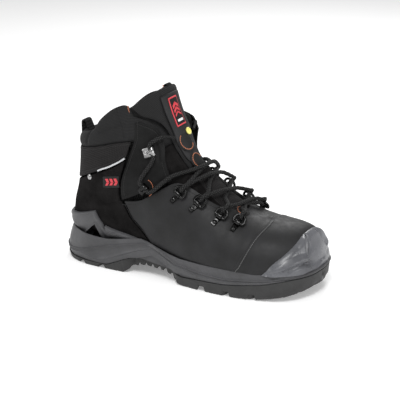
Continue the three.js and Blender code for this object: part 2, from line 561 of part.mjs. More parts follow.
// a plate with one round end and a rivet, under a barrel that holds the ring's bar
function bracketGeometry() {
  const [half, length] = [3.2, 11];
  const shape = new THREE.Shape().moveTo(-half, 0).lineTo(-half, -length + half);
  shape.absarc(0, -length + half, half, Math.PI, 2 * Math.PI).lineTo(half, 0);
  const base = new THREE.ExtrudeGeometry(shape, { depth: BRACKET, bevelEnabled: false, curveSegments: 4 });
  base.translate(0, 0, -BARREL);
  const barrel = new THREE.CylinderGeometry(BARREL, BARREL, 2 * half, 8).rotateZ(Math.PI / 2);
  const hole = new THREE.CylinderGeometry(BARREL_HOLE, BARREL_HOLE, 3 * half, 8).rotateZ(Math.PI / 2);
  const rivet = new THREE.CylinderGeometry(1.4, 2, 1.2, 6).rotateX(Math.PI / 2);
  rivet.translate(0, -length + half, -BARREL + BRACKET + 0.5);
  return cut(join([base, barrel, rivet]), [hole]);
}

// a hook open away from the tongue: base plate, neck and top flange
const HOOK_NECK = 3.6;
const HOOK_CHANNEL = 4.9;
function hookGeometry() {
  const rise = BRACKET + HOOK_CHANNEL;
  const profile = [[-8, 0], [HOOK_NECK + 1.4, 0], [HOOK_NECK + 1.4, rise + 0.6], [HOOK_NECK + 0.6, rise + 1.4],
    [-3.4, rise + 1.4], [-4.4, rise + 0.4], [-3.4, rise], [HOOK_NECK, rise], [HOOK_NECK, BRACKET], [-8, BRACKET]];
  const hook = new THREE.ExtrudeGeometry(new THREE.Shape(profile.map(([y, z]) => new THREE.Vector2(y, z))), {
    depth: 7, bevelEnabled: false }).translate(0, 0, -3.5);
  const axes = new THREE.Matrix4().makeBasis(
    new THREE.Vector3(0, 1, 0), new THREE.Vector3(0, 0, 1), new THREE.Vector3(1, 0, 0));
  return hook.applyMatrix4(axes);
}

function makeHardware(name, side) {
  RING_SPOTS.forEach(([t, v], i) => {
    add(`ring_bracket_${name}_${i + 1}`, bracketGeometry(), FINISH.hardware, frameOn(t, side * v, RING_LIFT));
    add(`lace_ring_${name}_${i + 1}`, ringGeometry(), FINISH.hardware, frameOn(t, side * v, RING_LIFT, RING_TILT));
  });
  const hooks = { lock_hook: [LOCK_SPOT, FINISH.hardware], top_hook: [TOP_SPOT, FINISH.chrome] };
  for (const [label, [[t, v], finish]] of Object.entries(hooks)) {
    add(`${label}_${name}`, hookGeometry(), finish, frameOn(t, side * v, FACING_OUT + GAP));
  }
}

// ---- lace ----
// It lies under each ring's end, turns up through the ring and crosses to the next ring on the other side.
const TURN = WIRE + LACE / 2 + 0.7;
const OVER_TONGUE = TONGUE_LOW + LACE / 2 + GAP;

function throughRing(side, i) {
  const [t, v] = RING_SPOTS[i];
  const frame = frameOn(t, side * v, RING_LIFT);
  const [y, z] = [RING_DEPTH * Math.cos(RING_TILT), RING_DEPTH * Math.sin(RING_TILT)];
  return [[y + 5, z - TURN - 1.2], [y, z - TURN], [y - TURN, z], [y, z + TURN], [y + 5, z + TURN - 0.4]]
    .map(([across, up]) => placed(frame, 0, across, up));
}

function throughHook([t, v], side) {
  const frame = frameOn(t, side * v, FACING_OUT + GAP + BRACKET + HOOK_CHANNEL / 2);
  return [-7, 0, 7].map((along) => placed(frame, side * along, HOOK_NECK - LACE / 2 - GAP, 0));
}

const CROSS_V = 0.08; // the strands bend over the tongue at this v, on both sides of the ridge

// one half, from the middle of the bottom bar up to the end beside the tongue's strap
function laceHalf(side) {
  const sideAt = (i) => (i % 2 ? -side : side);
  const points = throughRing(side, 0);
  for (let i = 1; i <= RING_SPOTS.length; i += 1) {
    const from = sideAt(i - 1);
    const rise = OVER_TONGUE + (from > 0 ? LACE + 0.6 : 0);
    const start = RING_SPOTS[i - 1][0];
    const end = i < RING_SPOTS.length ? RING_SPOTS[i][0] : 9.85;
    const overEdge = i === 1 ? 2 : 0; // the first crossing starts over the vamp's throat
    points.push(lifted(start + (end - start) * 0.35, from * CROSS_V, rise + 1.4 + overEdge),
      lifted((start + end) / 2, 0, rise + overEdge),
      lifted(start + (end - start) * 0.65, -from * CROSS_V, rise + 0.8));
    if (i < RING_SPOTS.length) points.push(...throughRing(sideAt(i), i));
  }
  const last = sideAt(RING_SPOTS.length);
  points.push(lifted(10.1, last * 0.17, 4.6), lifted(10.45, last * 0.27, 6.8),
    ...throughHook(LOCK_SPOT, last), ...throughHook(TOP_SPOT, last),
    lifted(12.75, last * 0.2, 7.5), lifted(12.2, last * 0.135, 6.2));
  return points;
}

function makeLace() {
  const bar = lifted(6.6, 0, OVER_TONGUE + 2.9);
  const path = [...reversed(laceHalf(-1)), bar, ...laceHalf(1)];
  add('lace', tube(path, LACE, Math.round((path.length - 1) * 1.6), 7), FINISH.lace);
}

// ---- trims ----
function makeTrims(name, side) {
  const path = smooth([[13.55, -0.59], [13.3, -0.53], [13.14, -0.475], [13.1, -0.435]], 6);
  const piping = path.map(([t, v]) => lifted(t, -side * v, SKIN + 1.1 + GAP));
  add(`reflective_piping_${name}`, tube(piping, 2.2, 12, 6), FINISH.reflective);
  const patch = between([[11.98, -0.55], [12.62, -0.56]], [[11.98, -0.475], [12.62, -0.485]], 4);
  add(`ankle_patch_${name}`, shell([sided(patch, side)], SKIN + GAP, SKIN + GAP + 0.9), FINISH.red);
  const dome = [[0, 0], [2.6, 0], [2.4, 0.9], [1.4, 1.5], [0, 1.7]].map(([r, z]) => new THREE.Vector2(r, z));
  const rivet = new THREE.LatheGeometry(dome, 10).rotateX(Math.PI / 2);
  add(`rear_rivet_${name}`, rivet, FINISH.chrome, frameOn(13.62, side * 0.66, SKIN + GAP));
}

function makeTongueButton() {
  const profile = [[0, 0], [4, 0], [4, 1.4], [3, 2], [0, 2.2]].map(([r, z]) => new THREE.Vector2(r, z));
  const disc = new THREE.LatheGeometry(profile, 16).rotateX(Math.PI / 2);
  add('tongue_button', disc, FINISH.yellow, frameOn(12.15, 0, tongueFace(12.15) + 2 + 2 * GAP));
}

// a webbing strip bent over a round top, with a long leg and a short leg
function webbingLoop(width, span, top, longLeg, shortLeg, thickness) {
  const [out, inn] = [span / 2, span / 2 - thickness];
  const shape = new THREE.Shape().moveTo(-out, longLeg).lineTo(-inn, longLeg).lineTo(-inn, top - out);
  shape.absarc(0, top - out, inn, Math.PI, 0, true).lineTo(inn, shortLeg);
  shape.lineTo(out, shortLeg).lineTo(out, top - out);
  shape.absarc(0, top - out, out, 0, Math.PI, false).lineTo(-out, longLeg);
  return new THREE.ExtrudeGeometry(shape, { depth: width, bevelEnabled: false, curveSegments: 6 })
    .translate(0, 0, -width / 2).rotateX(Math.PI / 2);
}

function makeLoops() {
  const heel = webbingLoop(18, 9.6, 154, 126, 148.5, 1.8);
  add('heel_pull_loop', heel.translate(-128.1, 0, 0), FINISH.textile);
  const tongue = webbingLoop(9, 7, 206.5, 201, 201, 1.2);
  add('tongue_loop', tongue.translate(-28, 0, 0), FINISH.textile);
}

makeSole();
makeBumper();
makeHeelClip();
makeUnderfoot();
makeStiffeners();
makeLining();
makeVamp();
makeToeOverlay();
makeCollar();
makeTongue();
makeTongueButton();
for (const [name, side] of Object.entries(SIDES)) {
  makeQuarter(name, side);
  makeFacing(name, side);
  makeGusset(name, side);
  makeHardware(name, side);
  makeTrims(name, side);
}
makeLace();
makeLoops();

export default boot;
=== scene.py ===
"""The looks of a steel toe work boot, a right boot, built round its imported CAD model.

The upper is the same bent tube as in the CAD: a point is (t, v), with t from 0 at the toe tip to 17 above the
shaft, v = 0 on the instep ridge, v = -1 and +1 on the back and underfoot, and negative v on the lateral side.
Lengths are millimetres in this script, and meshes are made in metres.
"""
import json
import math

import bpy
import numpy as np
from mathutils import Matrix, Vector


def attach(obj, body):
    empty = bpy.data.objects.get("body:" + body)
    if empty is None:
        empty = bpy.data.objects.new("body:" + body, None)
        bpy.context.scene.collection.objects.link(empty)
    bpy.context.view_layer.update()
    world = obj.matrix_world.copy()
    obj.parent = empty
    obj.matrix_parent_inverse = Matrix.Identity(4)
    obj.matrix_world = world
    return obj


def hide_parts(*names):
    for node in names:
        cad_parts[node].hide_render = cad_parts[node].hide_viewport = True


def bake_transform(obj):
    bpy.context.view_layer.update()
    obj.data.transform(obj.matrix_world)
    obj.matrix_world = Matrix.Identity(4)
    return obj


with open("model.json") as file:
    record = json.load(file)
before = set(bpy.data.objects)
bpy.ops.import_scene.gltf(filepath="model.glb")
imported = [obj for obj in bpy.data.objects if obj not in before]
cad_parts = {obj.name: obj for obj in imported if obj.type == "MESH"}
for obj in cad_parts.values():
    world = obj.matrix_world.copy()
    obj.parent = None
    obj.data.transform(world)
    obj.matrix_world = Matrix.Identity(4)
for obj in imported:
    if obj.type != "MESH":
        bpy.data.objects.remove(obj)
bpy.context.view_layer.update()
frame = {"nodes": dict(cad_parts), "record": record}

MM = 0.001
SIDES = {"lateral": -1, "medial": 1}

# ---- the tube that the upper lies on ----
# instep ridge x, z; heel and underfoot line x, z; half width; where it is widest; squareness; centre y; and
# how far the ridge is shifted sideways
STATIONS = np.array([
    [140, 34, 140, 34, 0, 0.45, 2.6, 9, 0],
    [134, 53, 138.5, 19, 27, 0.42, 2.6, 8, 0],
    [128.5, 63, 132.5, 15, 37, 0.4, 2.8, 6, 1],
    [116.5, 67.5, 119, 14, 44.5, 0.37, 2.9, 3, 2],
    [100, 70, 100, 14, 49, 0.35, 3, 0, 3],
    [85, 72, 81, 14, 50.5, 0.34, 3, -1, 4],
    [69.5, 76, 58.5, 14, 50.5, 0.34, 3, -1.5, 4],
    [54, 84, 33.5, 15, 48.5, 0.36, 3, -2, 4],
    [37.5, 95, 6, 18, 45.5, 0.38, 3, -2, 3],
    [22.5, 109, -25.5, 23, 42.5, 0.42, 3, -1.5, 3],
    [10.5, 123, -62.5, 27, 40.5, 0.46, 3.1, -1, 2],
    [0.5, 137, -101.5, 29, 39.5, 0.5, 3.1, -0.5, 1],
    [-7.5, 150, -134, 40, 39.5, 0.52, 3, 0, 0],
    [-14.5, 163, -137.5, 60, 39.5, 0.54, 2.6, 0, 0],
    [-20.5, 176, -133.5, 82, 39.5, 0.55, 2.3, 0, 0],
    [-25.5, 190, -130.5, 105, 39.5, 0.55, 2.3, 0, 0],
    [-29.5, 204, -129, 128, 39.5, 0.55, 2.3, 0, 0],
    [-33.5, 218, -127.5, 150, 39.5, 0.55, 2.3, 0, 0]])
ROUND_FRONT = 2.15
before_tip = STATIONS[1].copy()
before_tip[[1, 3]] = 2 * STATIONS[0][[1, 3]] - STATIONS[1][[1, 3]]
before_tip[4] = -STATIONS[1][4]
ROWS = np.vstack([before_tip, STATIONS, 2 * STATIONS[-1] - STATIONS[-2]])


def tube(t, v):
    """Points of the tube, in mm."""
    t, v = np.broadcast_arrays(np.asarray(t, float), np.asarray(v, float))
    i = np.clip(np.floor(t).astype(int), 0, len(STATIONS) - 2)
    f = (t - i)[..., None]
    a, b, c, d = ROWS[i], ROWS[i + 1], ROWS[i + 2], ROWS[i + 3]
    row = 0.5 * (2 * b + (c - a) * f + (2 * a - 5 * b + 4 * c - d) * f**2 + (3 * b - a - 3 * c + d) * f**3)
    front_x, front_z, back_x, back_z, half, widest, squareness, middle, ridge = np.moveaxis(row, -1, 0)
    cos, sin = np.cos(np.pi * v), np.sin(np.pi * v)
    power = np.where(cos > 0, ROUND_FRONT, squareness)
    radius = (np.abs(cos) ** power + np.abs(sin) ** power) ** (-1 / power)
    share = widest + np.where(cos > 0, 1 - widest, widest) * radius * cos
    y = middle + half * radius * sin + ridge * np.clip(radius * cos, 0, None) ** 2
    return np.stack([back_x + (front_x - back_x) * share, y, back_z + (front_z - back_z) * share], -1)


STEP = 1e-3


def unit(a):
    return a / np.maximum(np.linalg.norm(a, axis=-1, keepdims=True), 1e-9)


def along(t, v):
    t = np.maximum(t, 2 * STEP)
    return unit(tube(t + STEP, v) - tube(t - STEP, v))


def outward(t, v):
    t = np.maximum(np.asarray(t, float), 0.01)
    v = np.asarray(v, float)
    return unit(np.cross(tube(t, v + STEP) - tube(t, v - STEP), tube(t + STEP, v) - tube(t - STEP, v)))


def lifted(t, v, offset):
    offset = np.asarray(offset, float)
    return tube(t, v) + outward(t, v) * (offset[..., None] if offset.ndim else offset)


# ---- lines and regions ----
def spline(points, parts=90):
    """A Catmull-Rom curve through points, at parts + 1 even steps."""
    points = np.asarray(points, float)
    last = len(points) - 1
    place = np.linspace(0, last, parts + 1)
    k = np.minimum(place.astype(int), last - 1)
    w = (place - k)[:, None]
    a, b = points[np.maximum(k - 1, 0)], points[k]
    c, d = points[k + 1], points[np.minimum(k + 2, last)]
    v0, v1 = (c - a) / 2, (d - b) / 2
    return (2 * b - 2 * c + v0 + v1) * w**3 + (3 * c - 3 * b - 2 * v0 - v1) * w**2 + v0 * w + b


def across_ridge(line):
    """A line that ends at v = 0, carried on across the medial side."""
    return np.vstack([line, np.asarray(line, float)[-2::-1] * [1, -1]])


def round_back(line):
    """A line that starts at v = -1 on the back, as a whole line from its lateral end round the back."""
    line = np.asarray(line, float)
    return np.vstack([line[::-1], line[1:] * [1, -1] + [0, -2]])


def heights(line, x):
    line = np.asarray(line, float)
    return np.interp(x, line[:, 0], line[:, 1])


def spaced(count, edge):
    """Shares from 0 to 1, closer together near both ends."""
    close = edge * np.array([0, 0.12, 0.3, 0.6])
    return np.concatenate([close, np.linspace(edge, 1 - edge, count), 1 - close[::-1]])


def tv_at(x, z, side):
    """(t, v) of the tube's point at x, z on one side."""
    place = np.array([10.0, 0.5 * side])
    for _ in range(40):
        here = tube(*place)[[0, 2]]
        slope = np.stack([(tube(*(place + step))[[0, 2]] - here) / STEP for step in np.eye(2) * STEP], 1)
        place = place + np.clip(np.linalg.solve(slope, [x - here[0], z - here[1]]), -0.3, 0.3)
        place[1] = side * np.clip(abs(place[1]), 0.02, 0.98)
    return place


class Region:
    """The part of the tube inside four lines: low and high run one way, left and right join their ends."""

    def __init__(self, low, high, left=None, right=None):
        left = [low[0], high[0]] if left is None else left
        right = [low[-1], high[-1]] if right is None else right
        self.lines = [self.even(line) for line in (low, high, left, right)]

    @staticmethod
    def even(line):
        line = np.asarray(line, float)
        place = np.linspace(0, 1, len(line))
        return lambda s: np.stack([np.interp(s, place, line[:, k]) for k in (0, 1)], -1)

    def at(self, a, b):
        """(t, v) at shares a along low and b towards high."""
        low, high, left, right = self.lines
        a, b = np.broadcast_arrays(a, b)
        p, q = a[..., None], b[..., None]
        corners = ((1 - p) * (1 - q) * low(0.0) + p * (1 - q) * low(1.0) + (1 - p) * q * high(0.0)
                   + p * q * high(1.0))
        return (1 - q) * low(a) + q * high(a) + (1 - p) * left(b) + p * right(b) - corners


def distance_to(points, line):
    """Distance in mm from each point to a dense line of points."""
    line = np.asarray(line, float)
    flat = points.reshape(-1, 3)
    best = np.full(len(flat), 1e9)
    for start in range(0, len(line), 40):
        part = line[start:start + 40]
        best = np.minimum(best, np.linalg.norm(flat[:, None] - part[None], axis=-1).min(1))
    return best.reshape(points.shape[:-1])


def line_on_tube(points, lift=0.0, parts=160):
    tv = spline(points, parts)
    return lifted(tv[:, 0], tv[:, 1], lift)


def bell(distance, width):
    return np.exp(-(distance / width) ** 2)


# ---- meshes ----
def mesh_object(name, vertices, faces, look, body, uv=None, sharp=40):
    """vertices in mm; look names one of LOOKS; body is None for a piece that is left unattached."""
    data = bpy.data.meshes.new(name)
    data.from_pydata((np.asarray(vertices) * MM).tolist(), [], [list(map(int, face)) for face in faces])
    data.validate()
    if uv is not None:
        layer = data.uv_layers.new(name="weave")
        corner = np.zeros(len(data.loops), int)
        data.loops.foreach_get("vertex_index", corner)
        layer.data.foreach_set("uv", (np.asarray(uv) * MM)[corner].ravel())
    data.polygons.foreach_set("use_smooth", [True] * len(data.polygons))
    data.set_sharp_from_angle(angle=math.radians(sharp))
    data.materials.append(LOOKS[look])
    piece = bpy.data.objects.new(name, data)
    bpy.context.scene.collection.objects.link(piece)
    if body:
        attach(piece, body)
    return piece


def grid_faces(rows, columns, wrap=False, first=0):
    """Quads of a grid of vertices, whose columns close on themselves if wrap is true."""
    j, i = np.meshgrid(np.arange(rows - 1), np.arange(columns if wrap else columns - 1), indexing="ij")
    k = (i + 1) % columns
    quads = np.stack([j * columns + i, j * columns + k, (j + 1) * columns + k, (j + 1) * columns + i], -1)
    return (quads.reshape(-1, 4) + first).tolist()


def outward_faces(vertices, faces):
    """The faces turned so that the closed body has a positive volume."""
    p = np.asarray(vertices, float)
    total = 0.0
    for face in faces:
        a = p[face[0]]
        for b, c in zip(face[1:-1], face[2:]):
            total += a @ np.cross(p[b], p[c])
    return faces if total > 0 else [face[::-1] for face in faces]


def lengths(points, axis):
    """Distances in mm along lines or grids of points, from their start."""
    step = np.linalg.norm(np.diff(points, axis=axis), axis=-1)
    start = np.zeros_like(np.take(step, [0], axis=axis))
    return np.concatenate([start, np.cumsum(step, axis=axis)], axis=axis)


def patch(region, a, b):
    """A grid over a region: (t, v, a, b), then points, normals, weave places, and mm from the border."""
    a, b = np.meshgrid(a, b)
    tv = region.at(a, b)
    t, v = tv[..., 0], tv[..., 1]
    base = tube(t, v)
    u, w = lengths(base, 1), lengths(base, 0)
    border = np.minimum.reduce([u, u[:, -1:] - u, w, w[-1:] - w])
    return (t, v, a, b), base, outward(t, v), np.stack([u, w], -1).reshape(-1, 2), border


def shell(name, face, back, uv, look, body, sharp):
    """A closed body between two grids of points, joined round their border."""
    rows, columns = face.shape[:2]
    count = rows * columns
    faces = grid_faces(rows, columns) + [f[::-1] for f in grid_faces(rows, columns, first=count)]
    ring = ([(0, i) for i in range(columns)] + [(j, columns - 1) for j in range(1, rows)]
            + [(rows - 1, i) for i in range(columns - 2, -1, -1)] + [(j, 0) for j in range(rows - 2, 0, -1)])
    order = [j * columns + i for j, i in ring]
    for p, q in zip(order, order[1:] + order[:1]):
        faces.append([q, p, p + count, q + count])
    vertices = np.concatenate([face.reshape(-1, 3), back.reshape(-1, 3)])
    return mesh_object(name, vertices, outward_faces(vertices, faces), look, body,
                       np.concatenate([uv, uv]), sharp)


EDGE_DROP = 0.6  # how far a cut edge is rounded away, as a share of the panel's thickness


def skin(name, region, inner, outer, look, rows=60, columns=80, edge=1.4, close=0.03, body="boot",
         relief=None, sharp=50):
    """A panel over a region, between two offsets, with rounded cut edges and a relief on its face."""
    place, base, normal, uv, border = patch(region, spaced(columns, close), spaced(rows, close))
    top, bottom = [side(*place) if callable(side) else np.full(border.shape, float(side))
                   for side in (outer, inner)]
    fall = 1 - np.sqrt(1 - (1 - np.clip(border / edge, 0, 1)) ** 2)
    top = top - fall * EDGE_DROP * (top - bottom)
    if relief:
        top = top + relief(*place[:2], base, border) * np.clip(border / edge, 0, 1)
    return shell(name, base + normal * top[..., None], base + normal * bottom[..., None], uv, look, body,
                 sharp)


def loft(name, sections, look, body, closed=False, uv=None, sharp=50):
    """A body through rings of points; its ends are capped unless the row of rings closes on itself."""
    sections = np.asarray(sections, float)
    count, around = sections.shape[:2]
    vertices = sections.reshape(-1, 3)
    faces = grid_faces(count, around, wrap=True)
    if closed:
        faces += [[(count - 1) * around + i, (count - 1) * around + (i + 1) % around, (i + 1) % around, i]
                  for i in range(around)]
    else:
        faces += [list(range(around))[::-1], [(count - 1) * around + i for i in range(around)]]
    if uv is None:
        run = lengths(sections.mean(1), 0)
        turn = np.linspace(0, 1, around, endpoint=False) * np.linalg.norm(
            sections[0] - np.roll(sections[0], 1, 0), axis=-1).sum()
        uv = weave_places(turn, run)
    return mesh_object(name, vertices, outward_faces(vertices, faces), look, body, uv, sharp)


def ring_sections(path, normals, section, closed=False):
    """Copies of a flat section (across, up) set square to a path."""
    path = np.asarray(path, float)
    ahead = (np.roll(path, -1, 0) - np.roll(path, 1, 0)) if closed else np.gradient(path, axis=0)
    tangent = unit(ahead)
    up = unit(normals - (normals * tangent).sum(-1, keepdims=True) * tangent)
    side = np.cross(tangent, up)
    return path[:, None] + side[:, None] * section[:, :1] + up[:, None] * section[:, 1:]


# ---- looks ----
class Look:
    """A material's node tree, built from the Principled shader back."""

    def __init__(self, name, roughness, metallic=0.0, **shader):
        self.material = bpy.data.materials.new(name)
        self.material.use_nodes = True
        self.tree = self.material.node_tree
        self.shader = self.tree.nodes["Principled BSDF"]
        self.set("Roughness", roughness)
        self.set("Metallic", metallic)
        for key, value in shader.items():
            self.set(key.replace("_", " ").title().replace("Ior", "IOR"), value)
        self.place = self.tree.nodes.new("ShaderNodeTexCoord").outputs["Object"]
        weave = self.tree.nodes.new("ShaderNodeUVMap")
        weave.uv_map = "weave"
        self.flat = weave.outputs["UV"]

    def set(self, socket, value):
        self.shader.inputs[socket].default_value = value

    def node(self, kind, inputs=(), output=0, **settings):
        node = self.tree.nodes.new("ShaderNode" + kind)
        for key, value in settings.items():
            setattr(node, key, value)
        for key, value in dict(inputs).items():
            if isinstance(value, bpy.types.NodeSocket):
                self.tree.links.new(value, node.inputs[key])
            else:
                node.inputs[key].default_value = value
        return node.outputs[output]

    def noise(self, scale, detail=3.0, rough=0.55, at=None, stretch=(1, 1, 1)):
        vector = self.node("Mapping", {"Vector": at or self.place, "Scale": stretch})
        return self.node("TexNoise", {"Vector": vector, "Scale": scale, "Detail": detail, "Roughness": rough})

    def cells(self, scale, feature="F1", randomness=1.0, at=None):
        return self.node("TexVoronoi", {"Vector": at or self.place, "Scale": scale, "Randomness": randomness},
                         feature=feature)

    def bands(self, scale, direction, at=None):
        return self.node("TexWave", {"Vector": at or self.flat, "Scale": scale}, output=1,
                         bands_direction=direction)

    def span(self, value, low, high, out_low=0.0, out_high=1.0):
        return self.node("MapRange", {"Value": value, "From Min": low, "From Max": high, "To Min": out_low,
                                      "To Max": out_high})

    def math(self, operation, a, b):
        return self.node("Math", {0: a, 1: b}, operation=operation)

    def between(self, factor, first, second):
        return self.node("Mix", {"Factor": factor, 6: first, 7: second}, output=2, data_type="RGBA")

    def colour(self, factor, first, second):
        """The base colour runs from first to second as factor goes from 0 to 1."""
        self.tree.links.new(self.between(factor, (*first, 1), (*second, 1)), self.shader.inputs["Base Color"])

    def rough(self, value, low, high):
        self.tree.links.new(self.span(value, 0.3, 0.7, low, high), self.shader.inputs["Roughness"])

    def bump(self, height, depth, strength=1.0):
        """depth is in mm; each call adds to the bumps made before it."""
        inputs = {"Height": height, "Distance": depth * MM, "Strength": strength}
        links = self.shader.inputs["Normal"].links
        if links:
            inputs["Normal"] = links[0].from_socket
        self.tree.links.new(self.node("Bump", inputs), self.shader.inputs["Normal"])


def grey(level, tint=(1, 1, 1)):
    return tuple(level * t for t in tint)


def leather(name, dark, light, grain, depth, roughness):
    look = Look(name, roughness, specular_ior_level=0.19)
    cloud = look.noise(38, 4)
    look.colour(look.span(cloud, 0.3, 0.7), dark, light)
    look.rough(look.noise(160, 3), roughness - 0.06, roughness + 0.08)
    look.bump(look.noise(70, 3), 0.5, 0.35)
    look.bump(look.cells(grain, "DISTANCE_TO_EDGE"), depth, 0.55)
    look.bump(look.noise(grain * 2.6, 2), depth * 0.5, 0.4)
    return look.material


def nubuck(name, dark, light):
    look = Look(name, 0.95, specular_ior_level=0.05)
    brushed = look.math("ADD", look.noise(45, 5, 0.65), look.math("MULTIPLY", look.noise(900, 3), 0.35))
    look.colour(look.span(brushed, 0.45, 0.9), dark, light)
    look.bump(look.noise(1500, 4, 0.7), 0.25, 0.5)
    look.bump(look.noise(260, 3), 0.3, 0.35)
    return look.material


def woven(name, dark, light, pitch=1.1, depth=0.22, roughness=0.9):
    """Plain weave: warp shows on the dark squares of a checker and weft on the light ones."""
    look = Look(name, roughness, sheen_weight=0.02, specular_ior_level=0.15)
    per_metre = 1 / (pitch * MM)
    checker = look.node("TexChecker", {"Vector": look.flat, "Scale": per_metre}, output=1)
    threads = [look.bands(per_metre / 20 * 3.183, way) for way in ("X", "Y")]
    height = look.node("Mix", {"Factor": checker, 2: threads[0], 3: threads[1]}, data_type="FLOAT")
    look.colour(look.math("MULTIPLY", height, look.span(look.noise(60, 3), 0.2, 0.8, 0.6, 1)), dark, light)
    look.bump(height, depth, 0.8)
    look.bump(look.noise(1800, 2), 0.08, 0.4)
    return look.material


def spacer_mesh(name, dark, light):
    look = Look(name, 0.95, sheen_weight=0.02, specular_ior_level=0.12)
    holes = look.cells(1 / (2.2 * MM), "F1", 0.25, look.flat)
    look.colour(look.span(holes, 0.25, 0.5), light, dark)
    look.bump(look.span(holes, 0.2, 0.5, 1, 0), 0.5, 0.9)
    look.bump(look.noise(2200, 2), 0.08, 0.5)
    return look.material


def rubber(name, dark, light, roughness, grain=0.12):
    look = Look(name, roughness, specular_ior_level=0.42)
    scuffs = look.math("ADD", look.noise(26, 5, 0.6), look.math("MULTIPLY", look.noise(420, 3), 0.18))
    look.colour(look.span(scuffs, 0.4, 0.78), dark, light)
    look.rough(look.noise(90, 4), roughness - 0.07, roughness + 0.09)
    look.bump(look.noise(1300, 3), grain, 0.45)
    look.bump(look.noise(130, 2), 0.25, 0.2)
    return look.material


def thread(name, dark, light):
    look = Look(name, 0.65, specular_ior_level=0.3)
    look.colour(look.noise(900, 2), dark, light)
    look.bump(look.noise(3500, 2), 0.12, 0.6)
    return look.material


def braid(name, dark, light):
    """Crossing diagonal strands, from the cord's own length and girth. The colour follows the strands'
    height: a painted highlight on their crowns and painted shade between them.
    """
    look = Look(name, 0.8, sheen_weight=0.02, specular_ior_level=0.2)
    slant = look.node("Mapping", {"Vector": look.flat, "Rotation": (0, 0, math.radians(38))})
    other = look.node("Mapping", {"Vector": look.flat, "Rotation": (0, 0, math.radians(-38))})
    strands = look.math("MULTIPLY", look.bands(170, "X", slant), look.bands(170, "X", other))
    # painted highlight on the strand crowns and painted shade between the strands
    look.colour(strands, dark, light)
    look.bump(strands, 0.35, 0.9)
    return look.material


def metal(name, dark, light, roughness, worn=0.25):
    look = Look(name, roughness, metallic=1.0)
    wear = look.noise(420, 5, 0.7)
    look.colour(look.span(wear, 0.62 - worn * 0.4, 0.78), dark, light)
    look.rough(look.noise(700, 3), roughness - 0.08, roughness + 0.14)
    look.bump(look.noise(2400, 2, stretch=(1, 6, 1)), 0.03, 0.35)
    return look.material


def plastic(name, dark, light, roughness=0.45):
    look = Look(name, roughness, specular_ior_level=0.45)
    look.colour(look.noise(120, 3), dark, light)
    look.rough(look.noise(300, 3), roughness - 0.06, roughness + 0.1)
    look.bump(look.noise(1600, 2), 0.08, 0.3)
    return look.material


def reflective_film(name):
    look = Look(name, 0.3, metallic=0.7)
    beads = look.cells(1 / (0.7 * MM), "F1", 0.1, look.flat)
    look.colour(look.span(beads, 0.1, 0.6), (0.86, 0.87, 0.88), (0.5, 0.51, 0.53))
    look.bump(look.span(beads, 0, 0.6, 1, 0), 0.15, 0.6)
    return look.material


def floor_look():
    look = Look("pale_floor", 0.7)
    look.colour(look.noise(3, 2), (0.93, 0.93, 0.93), (0.96, 0.96, 0.96))
    look.set("Emission Color", (1, 1, 1, 1))
    look.set("Emission Strength", 0.22)
    return look.material


# each look: the function that makes it, then its numbers
LOOKS = {name: make(name, *values) for name, (make, *values) in {
    "smooth_leather": (leather, grey(0.016), grey(0.025, (1, 1, 1.05)), 950, 0.12, 0.5),
    "coated_leather": (leather, grey(0.010), grey(0.020), 620, 0.2, 0.5),
    "nubuck": (nubuck, grey(0.004, (1.08, 1, 0.99)), grey(0.015, (1.06, 1, 1))),
    "facing_leather": (leather, grey(0.004), grey(0.011), 620, 0.2, 0.75),
    "textile": (woven, grey(0.008, (1.06, 0.99, 1)), grey(0.026, (1.06, 1, 1.01))),
    "padded_textile": (woven, grey(0.009), grey(0.025, (1, 1, 1.03)), 0.8, 0.12, 0.75),
    "lining_mesh": (spacer_mesh, grey(0.003), grey(0.018)),
    "webbing": (woven, grey(0.006), grey(0.024), 1.6, 0.4, 0.85),
    "sole_rubber": (rubber, grey(0.044, (1, 1, 1.05)), grey(0.072, (1, 1, 1.06)), 0.46),
    "tread_rubber": (rubber, grey(0.020), grey(0.034), 0.62),
    "bumper_rubber": (rubber, grey(0.08, (0.98, 1, 1.09)), grey(0.13, (0.98, 1, 1.09)), 0.3, 0.05),
    "thread": (thread, grey(0.006), grey(0.026)),
    # light grey thread for the real stitches on the toe overlay seam: its lightness is a painted highlight
    # along the seam's edge
    "seam_thread": (thread, grey(0.09), grey(0.17)),
    "orange_thread": (thread, (0.30, 0.10, 0.05), (0.62, 0.24, 0.13)),
    # the lace's light grey is a painted highlight on its strand crowns
    "lace_cord": (braid, grey(0.004), grey(0.05)),
    "red_trim": (plastic, (0.52, 0.035, 0.05), (0.68, 0.06, 0.075)),
    "white_trim": (plastic, (0.72, 0.72, 0.72), (0.85, 0.85, 0.85)),
    "yellow_plastic": (plastic, (0.78, 0.72, 0.16), (0.9, 0.84, 0.28)),
    "dark_metal": (metal, grey(0.03), grey(0.3), 0.2, 0.05),
    "bright_metal": (metal, grey(0.22), grey(0.7), 0.16, 0.6),
    "steel": (metal, grey(0.3), grey(0.5), 0.35, 0.8),
    "board": (leather, (0.42, 0.38, 0.30), (0.52, 0.48, 0.40), 1400, 0.1, 0.9),
    "foam": (spacer_mesh, grey(0.05), grey(0.14)),
    "reflective": (reflective_film,),
}.items()}
for node, piece in frame["nodes"].items():
    slot = next(entry["material_slot"] for entry in frame["record"]["subparts"] if entry["node"] == node)
    piece.data.materials.clear()
    piece.data.materials.append(LOOKS[slot])


# ---- sole ----
LATERAL_EDGE = [[-150, 0], [-147, -15], [-137, -28], [-118, -38], [-95, -41.5], [-62, -43], [-28, -45],
                [8, -49.5], [40, -54.2], [72, -56], [98, -53.5], [121, -47], [137, -35.5], [147, -17],
                [150, 6]]
MEDIAL_EDGE = [[-150, 0], [-147, 15], [-137, 27], [-118, 36], [-95, 40], [-62, 41], [-28, 41.5],
               [8, 44.5], [40, 50.5], [72, 55.5], [98, 55.5], [121, 52.5], [137, 46], [147, 30], [150, 6]]
OUTLINE = [spline(edge, 420) for edge in (LATERAL_EDGE, MEDIAL_EDGE)]
SPREAD = np.array([150, 53])
